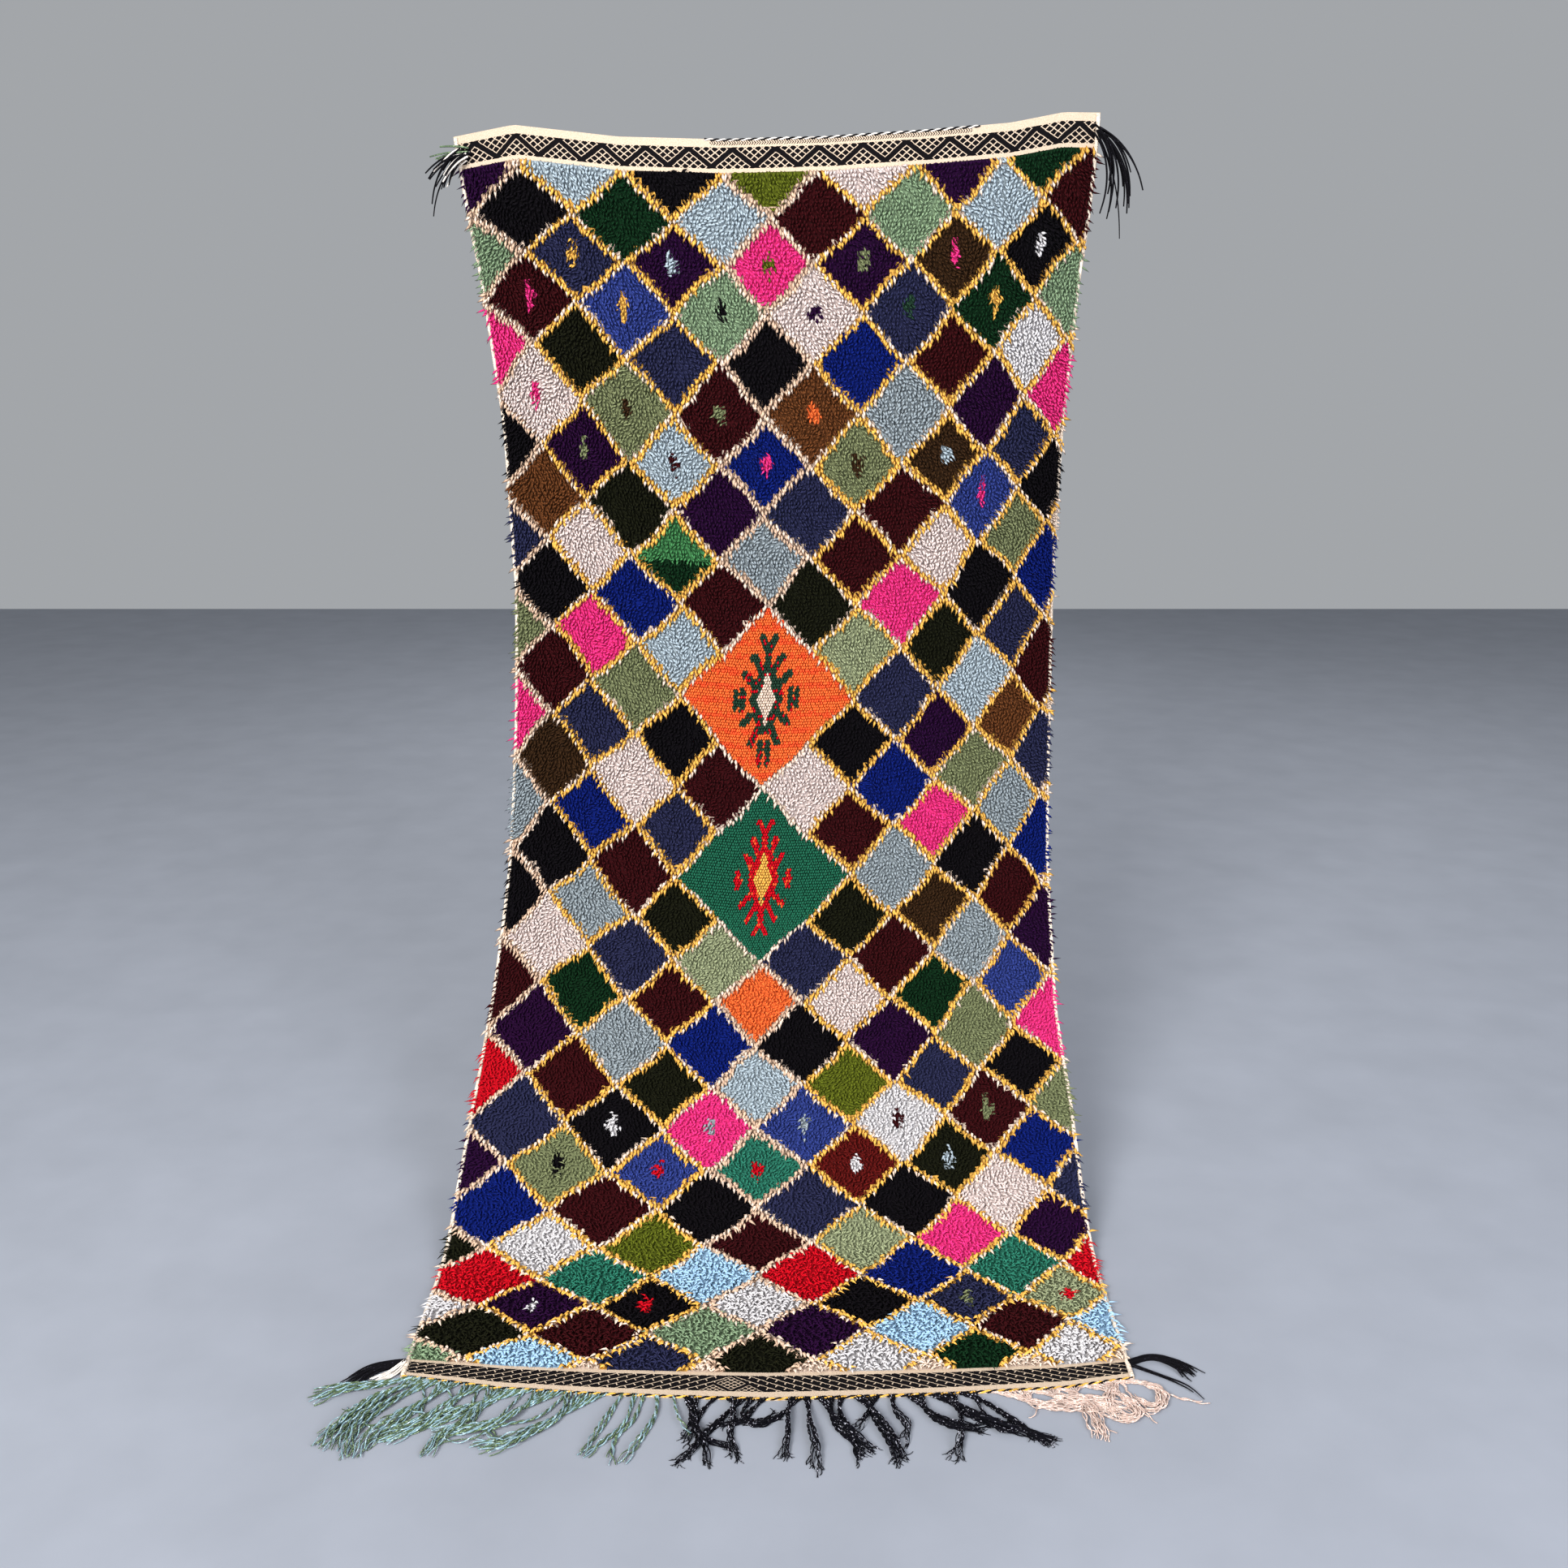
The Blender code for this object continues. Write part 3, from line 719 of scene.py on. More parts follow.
# The same weave at the foot, matt and ribbed, with finer undyed lines, so that black shows most.
foot_band, surface = new_finish("flat_woven_chains", 0.95)
place = cloth_place(foot_band)
parts = add(foot_band, "ShaderNodeSeparateXYZ", {"Vector": place})
across = add(foot_band, "ShaderNodeMath", {0: parts.outputs["X"], 1: APEX}, operation="SUBTRACT")
side = add(foot_band, "ShaderNodeMath", {0: across}, operation="ABSOLUTE")
down = add(foot_band, "ShaderNodeMath", {0: parts.outputs["Y"], 1: CHAIN_TOP}, operation="SUBTRACT")
fall = add(foot_band, "ShaderNodeMath", {0: down, 1: 1 / CHAIN_DOWN}, operation="MULTIPLY")
slanted = add(foot_band, "ShaderNodeMath", {0: side, 1: -1 / CHAIN_ACROSS, 2: fall}, operation="MULTIPLY_ADD")
chain = add(foot_band, "ShaderNodeMath", {0: slanted}, operation="FRACT")
lean = add(foot_band, "ShaderNodeMath", {0: chain, 1: HOOK_LEAN}, operation="MULTIPLY")
spaced = add(foot_band, "ShaderNodeMath", {0: side, 1: 1 / HOOK, 2: lean}, operation="MULTIPLY_ADD")
hook = add(foot_band, "ShaderNodeMath", {0: spaced}, operation="FRACT")
rail = add(foot_band, "ShaderNodeMath", {0: chain, 1: RAIL_LINE}, operation="LESS_THAN")
near_hook = add(foot_band, "ShaderNodeMath", {0: hook, 1: HOOK_LINE}, operation="LESS_THAN")
near_rail = add(foot_band, "ShaderNodeMath", {0: chain, 1: HOOK_REACH}, operation="LESS_THAN")
hooks = add(foot_band, "ShaderNodeMath", {0: near_hook, 1: near_rail}, operation="MULTIPLY")
chains = add(foot_band, "ShaderNodeMath", {0: rail, 1: hooks}, operation="MAXIMUM")
under = add(foot_band, "ShaderNodeMath", {0: side, 1: -CHAIN_TALL / APEX_HALF, 2: down},
            operation="MULTIPLY_ADD")
in_apex = add(foot_band, "ShaderNodeMath", {0: under, 1: 0.0}, operation="GREATER_THAN")
apex_net = net(foot_band, place, APEX_NET, APEX_NET_TALL, CHAIN_TOP)
pattern = add(foot_band, "ShaderNodeMix", {"Factor": in_apex, "A": chains, "B": apex_net}, data_type="FLOAT")
finish_band(foot_band, surface, place, pattern, CHAIN_TOP, CHAIN_TOP + CHAIN_TALL)
print("two flat-woven bands,", len(top_band.node_tree.nodes), "and", len(foot_band.node_tree.nodes), "nodes")

# %% [markdown]
# ## Making the cloth
# The ground could be modelled already bent, but its pattern and its UV map are
# easier to work out flat. So a flat grid is made first, and the flat place of
# each corner is kept. Every corner is then hung, and the kept places give each
# face its yarn, its material and its UV map.

# %% Cloth
lines = grid_lines()
bm = bmesh.new()
bmesh.ops.create_grid(bm, x_segments=ACROSS, y_segments=len(lines) - 1, size=0.5)
bm.verts.ensure_lookup_table()
flat = np.array([v.co for v in bm.verts])
a_flat = flat[:, 0] * WIDTH
s_flat = lines[np.rint((0.5 - flat[:, 1]) * (len(lines) - 1)).astype(int)]
for vert, point in zip(bm.verts, drape(a_flat, s_flat)):
    vert.co = point
ground = to_piece(bm, "rug_ground", ground_front, top_band, foot_band, ground_back, top_band, foot_band)
mesh = ground.data
corners = np.empty(len(mesh.loops), np.int32)
mesh.loops.foreach_get("vertex_index", corners)
uv = mesh.uv_layers.new(name="cloth")
uv.data.foreach_set("uv", np.stack([a_flat[corners], s_flat[corners]], axis=-1).ravel().astype(np.float32))
face_a = a_flat[corners].reshape(-1, 4).mean(axis=1)
face_s = s_flat[corners].reshape(-1, 4).mean(axis=1)
rng = np.random.default_rng(11)
face_yarn, border, medallion = yarn_at(face_a, face_s, rng.random(len(face_a)))
dyes = np.array([colour(YARNS[name][0]) for name in NAMES])
in_band = (face_s < PILE_START) | (face_s > PILE_END)
face_dye = np.where(in_band[:, None], dyes[YARN["cream"]], dyes[face_yarn])
dye_layer = mesh.color_attributes.new("dye", "FLOAT_COLOR", "CORNER")
dye_layer.data.foreach_set("color", np.repeat(face_dye, 4, axis=0).ravel().astype(np.float32))
parts = np.where(face_s < PILE_START, 1, np.where(face_s > PILE_END, 2, 0))
mesh.polygons.foreach_set("material_index", parts.astype(np.int32))
thick = ground.modifiers.new("cloth_thickness", "SOLIDIFY")
thick.thickness = GROUND_THICK
thick.offset = 1.0 if mesh.polygons[len(mesh.polygons) // 2].normal.y < 0 else -1.0
# The last three of its six materials are for the back.
thick.material_offset = 3
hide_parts("rug")
print("ground cloth:", len(mesh.polygons), "faces, offset", thick.offset)

# %% [markdown]
# ## The pile
# Every knot leaves two cut ends that stand out and then hang down, combed by
# their own weight. A particle system could scatter them, but a knotted pile has
# one tuft at each crossing, so here one tuft is made with bmesh and copied by
# arrays to every knot, and each yarn becomes one joined piece. A tuft is a
# three-sided lock that is narrow at its root, widest where it bends over and
# pointed at its tip.

# %% One tuft
bm = bmesh.new()
bmesh.ops.create_cone(bm, cap_ends=True, segments=3, radius1=1.0, radius2=0.0, depth=1.0)
bmesh.ops.remove_doubles(bm, verts=bm.verts, dist=1e-5)
bmesh.ops.translate(bm, verts=bm.verts, vec=(0, 0, 0.5))
BEND = 0.45
bmesh.ops.bisect_plane(bm, geom=bm.verts[:] + bm.edges[:] + bm.faces[:], plane_co=(0, 0, BEND),
                       plane_no=(0, 0, 1))
bmesh.ops.recalc_face_normals(bm, faces=bm.faces)
bm.verts.index_update()
TUFT_POINTS = np.array([v.co for v in bm.verts])
TUFT_FACES = [[v.index for v in face.verts] for face in bm.faces]
bm.free()
TUFT_AROUND = np.arctan2(TUFT_POINTS[:, 1], TUFT_POINTS[:, 0])
TUFT_ALONG = TUFT_POINTS[:, 2]
print("a tuft has", len(TUFT_POINTS), "points and", len(TUFT_FACES), "faces")


def copied(name, points, faces, along, tone):
    """One joined mesh from many copies of a shape: points is copies by points by 3."""
    copies, each = points.shape[:2]
    sizes = np.array([len(face) for face in faces])
    corners = np.array([i for face in faces for i in face])
    mesh = bpy.data.meshes.new(name)
    mesh.vertices.add(copies * each)
    mesh.vertices.foreach_set("co", points.ravel().astype(np.float32))
    mesh.loops.add(copies * len(corners))
    every = (corners[None, :] + np.arange(copies)[:, None] * each).ravel()
    mesh.loops.foreach_set("vertex_index", every.astype(np.int32))
    mesh.polygons.add(copies * len(faces))
    starts = np.concatenate([[0], np.cumsum(sizes)[:-1]])
    starts = (starts[None, :] + np.arange(copies)[:, None] * len(corners)).ravel()
    mesh.polygons.foreach_set("loop_start", starts.astype(np.int32))
    mesh.update(calc_edges=True)
    mesh.polygons.foreach_set("use_smooth", np.ones(copies * len(faces), bool))
    for label, values in (("along", np.tile(along, copies)), ("tone", np.repeat(tone, each))):
        layer = mesh.attributes.new(label, "FLOAT", "POINT")
        layer.data.foreach_set("value", values.astype(np.float32))
    return mesh


# Half the width and half the depth, as shares of a tuft's width, and how far along its length it is.
ROOT = (0.42, 0.40, 0.0)
BENT = (0.56, 0.34, 0.34)
TIP = (0.0, 0.0, 0.94)
LAID_OVER = 0.6
# How far the root is sunk in the cloth.
SUNK = 0.0006


def lay_tufts(a, s, long, wide, rise, tip_rise, turn):
    """Points of every tuft: its root in the cloth, its bend, and its tip laid down the rug."""
    place, across, down, out = cloth_frame(a, s)
    place = place + out * (GROUND_THICK - SUNK)
    ahead = down * np.cos(turn)[:, None] + across * np.sin(turn)[:, None]
    beside = across * np.cos(turn)[:, None] - down * np.sin(turn)[:, None]
    points = np.empty((len(a), len(TUFT_POINTS), 3))
    for i, (angle, t) in enumerate(zip(TUFT_AROUND, TUFT_ALONG)):
        if t < 0.01:
            shape, lift = ROOT, 0.0 * rise
        elif t < 0.99:
            shape, lift = BENT, rise
        else:
            shape, lift = TIP, tip_rise
        width, depth, go = shape[0] * wide, shape[1] * wide, shape[2] * long
        side = math.cos(angle)
        back = math.sin(angle)
        # The root is cut level with the cloth. From the bend on, the tuft lies over.
        slant = 1.0 - LAID_OVER * min(1.0, t / BEND)
        points[:, i] = (place + beside * (side * width)[:, None]
                        + ahead * (go - back * depth * slant)[:, None]
                        + out * (lift + back * depth * (1 - slant))[:, None])
    return points


# %% Knots
# How far the pile keeps from the cloth's edge, and how far a knot may be off its place.
FIELD_INSET = 0.005
OFF_PLACE = 0.0011
# Mean and spread of each size of a tuft, on the borders and then inside the diamonds.
TUFT_LONG = ((0.0170, 0.0030), (0.0130, 0.0022))
TUFT_WIDE = ((0.0064, 0.0008), (0.0044, 0.0005))
TUFT_RISE = ((0.0090, 0.0007), (0.0080, 0.0010))
TUFT_TIP = ((0.0095, 0.0012), (0.0080, 0.0014))
# The least and the most that a tuft's length, and the height of its bend and its tip, may be.
LONG_LIMITS = (0.009, 0.029)
RISE_LIMITS = (0.004, 0.0098)
TIP_LIMITS = (0.004, 0.0108)
SOFT_SPUN = ("ivory", "white", "light_blue", "sky_blue", "grey_blue")
SOFT_WIDER = 1.25
# How wide the strip along each side is where tufts stray, and what share of them does.
STRAY_STRIP = 0.016
STRAY_SHARE = 0.35


def knot_grid(across, down, low_a, high_a, low_s, high_s, loose):
    """Knots in rows, every other row shifted half a knot, none quite in its place."""
    rows = np.arange(low_s, high_s, down)
    columns = np.arange(low_a, high_a, across)
    a, s = np.meshgrid(columns, rows)
    a = a + (np.arange(len(rows)) % 2)[:, None] * across / 2
    a = a + rng.uniform(-loose, loose, a.shape)
    s = s + rng.uniform(-loose, loose, s.shape)
    keep = (a > low_a) & (a < high_a)
    return a[keep], s[keep]


def by_chance(sizes):
    """One size for each tuft."""
    on_border = rng.normal(*sizes[0], count)
    inside = rng.normal(*sizes[1], count)
    return np.where(border, on_border, inside)


rng = np.random.default_rng(5)
edge = HALF - FIELD_INSET
a, s = knot_grid(KNOT_ACROSS, KNOT_DOWN, -edge, edge, PILE_START, PILE_END, OFF_PLACE)
chance = rng.random(len(a))
yarn, border, medallion = yarn_at(a, s, chance)
keep = ~medallion
a, s, yarn, border = a[keep], s[keep], yarn[keep], border[keep]
count = len(a)
# The pile is combed one way here and another there, a hand's width at a time.
combed = 0.45 * np.sin(31 * a + 17 * s) + 0.40 * np.sin(53 * s - 19 * a + 1.0) + 0.25 * np.sin(71 * a + 2.0)
long = by_chance(TUFT_LONG)
wide = by_chance(TUFT_WIDE)
# The pale yarns are spun softer, so their strands spread and hide what is under them.
soft_spun = np.isin(yarn, [YARN[name] for name in SOFT_SPUN]) & ~border
wide = np.where(soft_spun, SOFT_WIDER * wide, wide)
rise = by_chance(TUFT_RISE)
tip_rise = by_chance(TUFT_TIP)
turn = np.where(border, rng.normal(0.0, 0.22, count), combed + rng.normal(0.0, 0.45, count))
# From 2.0 m down the cloth the pile falls more and more every way, and some of it lies longer.
lies = np.clip((s - 2.0) / 0.4, 0, 1)
turn = turn + lies * rng.normal(0.0, 0.40, count)
long = long * (1 + 0.35 * lies * rng.random(count))
# Along both sides some tufts stray out over the edge.
strays = (np.abs(a) > HALF - STRAY_STRIP) & (rng.random(count) < STRAY_SHARE)
turn = np.where(strays, np.sign(a) * rng.uniform(0.5, 1.5, count), turn)
long = np.where(strays, rng.uniform(0.018, 0.028, count), long)
long = np.clip(long, *LONG_LIMITS)
rise = np.clip(rise, *RISE_LIMITS)
tip_rise = np.clip(tip_rise, *TIP_LIMITS)
field = [lay_tufts(a, s, long, wide, rise, tip_rise, turn)]
field_yarn = [yarn]

# The medallions are tied finer and clipped short.
FINE_ACROSS = 0.0052
FINE_DOWN = 0.0056
FINE_WIDE = 0.0056
FINE_LONG = (0.0100, 0.0006)
FINE_RISE = (0.0052, 0.0003)
FINE_TIP = (0.0040, 0.0004)
FINE_TURN = (0.0, 0.10)
FINE_OFF_PLACE = 0.0004
MEDALLION_REACH = 0.19
for middle, *_ in MEDALLIONS:
    centre_a, centre_s = middle_of(middle)
    a, s = knot_grid(FINE_ACROSS, FINE_DOWN, centre_a - MEDALLION_REACH, centre_a + MEDALLION_REACH,
                     centre_s - MEDALLION_REACH, centre_s + MEDALLION_REACH, FINE_OFF_PLACE)
    chance = rng.random(len(a))
    yarn, border, medallion = yarn_at(a, s, chance)
    u, v = lattice(a, s)
    keep = np.maximum(np.abs(u - middle / 2), np.abs(v + middle / 2)) < 1 - CREAM_EDGE
    a, s, yarn = a[keep], s[keep], yarn[keep]
    count = len(a)
    field.append(lay_tufts(a, s, rng.normal(*FINE_LONG, count), np.full(count, FINE_WIDE),
                           rng.normal(*FINE_RISE, count), rng.normal(*FINE_TIP, count),
                           rng.normal(*FINE_TURN, count)))
    field_yarn.append(yarn)
field = np.concatenate(field)
field_yarn = np.concatenate(field_yarn)
print("knots:", len(field), "triangles:", len(field) * (len(TUFT_FACES) + 3))

# %% [markdown]
# ## Wool for the pile
# The yarn is thick carded wool, dyed in small batches, so strands of one colour
# differ a little, and a strand is painted darker at its root, as shade where light doesn't reach.
# One flat colour a yarn would hide the tufts. So each tuft carries a tone of its
# own as an attribute, and a second one says how far along it a point is.

# %% Pile wool
# Carded wool: matt, its tone uneven from tuft to tuft and in flecks 4 mm wide. The real fibres are
# too fine to show, so the bump draws them 0.7 mm apart.
VARY = 0.45
ROOT_LIGHT = 0.94


def pile_wool(name, hex_text, spread):
    """Wool of one dye. A larger spread makes its tufts differ more and the painted shade at its roots deeper.
    """
    material, surface = new_finish(name, 0.9)
    tone = add(material, "ShaderNodeAttribute", attribute_name="tone").outputs["Fac"]
    along = add(material, "ShaderNodeAttribute", attribute_name="along").outputs["Fac"]
    place = add(material, "ShaderNodeTexCoord").outputs["Object"]
    fleck = add(material, "ShaderNodeTexNoise", {"Vector": place, "Scale": 260.0, "Detail": 3.0})
    both = add(material, "ShaderNodeMath", {0: tone, 1: fleck}, operation="ADD")
    value = add(material, "ShaderNodeMapRange", {"Value": both, "From Min": 0.2, "From Max": 1.8,
                                                 "To Min": 1.0 - VARY * spread,
                                                 "To Max": 1.0 + VARY * spread})
    # Painted shade: each tuft's colour is darker at its root, where the pile shades it.
    root = add(material, "ShaderNodeMapRange", {"Value": along, "From Min": 0.0, "From Max": 0.6,
                                                "To Min": ROOT_LIGHT - VARY * spread, "To Max": 1.0})
    bright = add(material, "ShaderNodeMath", {0: value, 1: root}, operation="MULTIPLY")
    dyed = add(material, "ShaderNodeHueSaturation", {"Color": colour(hex_text), "Value": bright})
    fibres = add(material, "ShaderNodeTexNoise", {"Vector": place, "Scale": 1400.0, "Detail": 2.0})
    raised = add(material, "ShaderNodeBump", {"Height": fibres, "Strength": 0.5, "Distance": 0.0004})
    material.node_tree.links.new(dyed.outputs["Color"], surface.inputs["Base Color"])
    material.node_tree.links.new(raised.outputs["Normal"], surface.inputs["Normal"])
    return material


for name, (shade, spread, diamonds) in YARNS.items():
    chosen = field[field_yarn == YARN[name]]
    if len(chosen) == 0:
        continue
    tone = rng.random(len(chosen))
    mesh = copied("pile_" + name, chosen, TUFT_FACES, TUFT_ALONG, tone)
    piece = from_mesh(mesh, "pile_" + name, pile_wool("carded_wool_" + name, shade, spread))
    print(piece.name, len(chosen), "tufts")

# %% [markdown]
# ## Cords
# The fringe is the warp and spare yarn, left long and twisted by hand into
# cords of two strands. A plain tube would look like wire, and a twisted
# cross-section would keep both strands in one colour, so each strand is a curve
# of its own that winds round the cord's route. The two part and unwind towards
# the tip, as they do in the real thing. The cream hank is left as single yarns.
# Each cord follows a few given places on the floor, with its corners rounded
# and a little chance.

# %% Twisting a cord
# A strand's width, how far apart its points are, how far it is from the cord's middle, and how
# long one turn is.
STRAND = 0.0028
STEP_ALONG = 0.0038
COIL = 0.0013
TURN = 0.0220


def rounded(points, times=3):
    """Cuts the corners of a route until it bends smoothly."""
    points = np.asarray(points, float)
    for _ in range(times):
        early = 0.75 * points[:-1] + 0.25 * points[1:]
        late = 0.25 * points[:-1] + 0.75 * points[1:]
        between = np.stack([early, late], axis=1).reshape(-1, 3)
        points = np.concatenate([points[:1], between, points[-1:]])
    return points


def even_steps(points, step=STEP_ALONG):
    """The same route, with its points evenly apart."""
    gaps = np.linalg.norm(np.diff(points, axis=0), axis=1)
    along = np.concatenate([[0.0], np.cumsum(gaps)])
    at = np.linspace(0.0, along[-1], max(3, int(along[-1] / step) + 1))
    return np.stack([np.interp(at, along, points[:, k]) for k in range(3)], axis=1)


def wound(route, count, coil, turn, loosens, rng):
    """The strands that wind round a route. Towards its end they unwind and part."""
    share = np.linspace(0.0, 1.0, len(route))[:, None]
    ahead = np.gradient(route, axis=0)
    beside = np.cross(ahead, (0.0, 0.0, 1.0))
    beside /= np.linalg.norm(beside, axis=1, keepdims=True)
    up = np.cross(beside, ahead)
    up /= np.linalg.norm(up, axis=1, keepdims=True)
    apart = coil * (1 + loosens * share ** 3)
    slower = 1 - 0.8 * min(1.0, loosens) * share ** 2
    phase = rng.uniform(0, 6.28) + 2 * math.pi * STEP_ALONG / turn * np.cumsum(slower, axis=0)
    strands = []
    for k in range(count):
        angle = phase + 2 * math.pi * k / count
        strand = route + beside * apart * np.cos(angle) + up * coil * np.sin(angle)
        strand[:, 2] = np.maximum(strand[:, 2], FLOOR + STRAND / 2)
        strands.append(strand)
    return strands


def stranded(name, strands, round_more=0):
    """A bmesh of many strands. Each is its route, its width, and how thin its tip is."""
    curve = bpy.data.curves.new(name, "CURVE")
    curve.dimensions = "3D"
    curve.bevel_depth = 0.5
    curve.bevel_resolution = round_more
    curve.use_fill_caps = True
    for route, width, tip in strands:
        share = np.linspace(0.0, 1.0, len(route))
        spline = curve.splines.new("POLY")
        spline.points.add(len(route) - 1)
        spline.points.foreach_set("co", np.c_[route, np.ones(len(route))].ravel())
        spline.points.foreach_set("radius", width * (1 - (1 - tip) * share ** 4))
    holder = bpy.data.objects.new(name, curve)
    bpy.context.scene.collection.objects.link(holder)
    depsgraph = bpy.context.evaluated_depsgraph_get()
    mesh = bpy.data.meshes.new_from_object(holder.evaluated_get(depsgraph))
    bm = bmesh.new()
    bm.from_mesh(mesh)
    bmesh.ops.remove_doubles(bm, verts=bm.verts, dist=1e-5)
    bmesh.ops.recalc_face_normals(bm, faces=bm.faces)
    for face in bm.faces:
        face.smooth = True
    bpy.data.objects.remove(holder)
    bpy.data.curves.remove(curve)
    bpy.data.meshes.remove(mesh)
    return bm


print("a cord's strands turn once in", 1000 * TURN, "mm")

# %% Wool for cords
# Its tone changes about every 14 mm. Its hairs are too fine to show, so they are drawn 3 mm apart.
def strand_wool(name, shade, fleck, least, fades=0.0):
    """Loosely spun wool, matt and hairy, with flecks that may fade towards the tip."""
    material, surface = new_finish(name, 0.95)
    where = add(material, "ShaderNodeUVMap", uv_map="UVMap")
    along = add(material, "ShaderNodeSeparateXYZ", {"Vector": where})
    place = add(material, "ShaderNodeTexCoord").outputs["Object"]
    batch = add(material, "ShaderNodeTexNoise", {"Vector": place, "Scale": 70.0, "Detail": 2.0})
    hair = add(material, "ShaderNodeTexNoise", {"Vector": place, "Scale": 300.0, "Detail": 2.0})
    limit = add(material, "ShaderNodeMath", {0: along.outputs["Y"], 1: fades, 2: least},
                operation="MULTIPLY_ADD")
    light = add(material, "ShaderNodeMath", {0: hair, 1: limit}, operation="GREATER_THAN")
    specked = add(material, "ShaderNodeMix", {"Factor": light, "A": colour(shade), "B": colour(fleck)},
                  data_type="RGBA")
    tone = add(material, "ShaderNodeMapRange", {"Value": batch, "From Min": 0.3, "From Max": 0.7,
                                                "To Min": 0.65, "To Max": 1.2})
    dyed = add(material, "ShaderNodeHueSaturation", {"Color": specked, "Value": tone})
    raised = add(material, "ShaderNodeBump", {"Height": hair, "Strength": 0.6, "Distance": 0.0005})
    material.node_tree.links.new(dyed.outputs["Color"], surface.inputs["Base Color"])
    material.node_tree.links.new(raised.outputs["Normal"], surface.inputs["Normal"])
    return material


sage_wool = strand_wool("hand_spun_sage_wool", "#4f6047", "#8a9d78", 0.60)
blue_wool = strand_wool("hand_spun_pale_blue_wool", "#7d99a0", "#b3c4c8", 0.60)
indigo_wool = strand_wool("hand_spun_indigo_wool", "#05050b", "#181722", 0.66)
marled_wool = strand_wool("marled_indigo_wool", "#08070f", "#b0afb9", 0.56, 0.30)
pale_cotton = strand_wool("soft_pink_cotton", "#c4aa9d", "#e3d3c9", 0.58)
black_wool = strand_wool("loose_black_wool", "#08070b", "#25232c", 0.66)
white_wool = strand_wool("loose_white_wool", "#d9d0c6", "#f0eae2", 0.60)
gold_wool = strand_wool("twined_gold_wool", "#d9a544", "#efe0cf", 0.66)
print("yarns for the cords, from", sage_wool.name, "to", gold_wool.name)

# %% [markdown]
# ## Sides and ends
# Both sides are overcast: a thick undyed yarn is wound over the outer warps.
# Along the foot, and along part of the top, runs a twined cord of two colours,
# which stops the weft from sliding off.

# %% Overcast sides
# How long one turn of the wrapping is, how far it steps in and out, the width of the side, and
# how far its middle is from the edge.
WRAP = 0.0048
WRAP_STEP = 0.0007
SIDE_WIDE = 0.0080
SIDE_IN = 0.0036
# Undyed wool wound over the edge: a matt cream cord, ribbed where each turn lies on the last.
overcast = strand_wool("overcast_undyed_wool", "#e4d5c3", "#c2ab93", 0.56)

for name, side in (("selvedge_left", -1), ("selvedge_right", 1)):
    stations = np.arange(0.002, LENGTH, WRAP / 2)
    lean_in = np.where(np.arange(len(stations)) % 2 == 0, 0.0, WRAP_STEP)
    route = drape(side * (HALF - SIDE_IN - lean_in), stations, SIDE_WIDE / 2)
    piece = to_piece(stranded(name, [(route, SIDE_WIDE, 1.0)], 1), name, overcast)
print("overcast sides:", len(stations), "points each")

# %% Twined ends
# How far the cord's middle stands out of the cloth, its coil and its turn, and a strand's width.
TWINED_OUT = 0.0030
TWINED_COIL = 0.0014
TWINED_TURN = 0.024
TWINED_WIDE = 0.0032
rng = np.random.default_rng(29)
for name, first, last, s, finishes in (
        ("twined_edge_top", -0.135, 0.390, 0.001, (black_wool, white_wool)),
        ("twined_edge_foot", -HALF + 0.004, HALF - 0.004, LENGTH - 0.001, (black_wool, gold_wool))):
    route = even_steps(drape(np.linspace(first, last, 500), s, TWINED_OUT))
    for finish, strand in zip(finishes, wound(route, 2, TWINED_COIL, TWINED_TURN, 0.0, rng)):
        label = name + finish.name.replace("loose", "").replace("twined", "")
        piece = to_piece(stranded(label, [(strand, TWINED_WIDE, 1.0)]), label, finish)

# %% [markdown]
# ## Where the cords lie
# A lock is some cords that lie together: how many there are, how far they
# spread, where the first and the last leave the foot, and the places on the
# floor that the lock passes over.

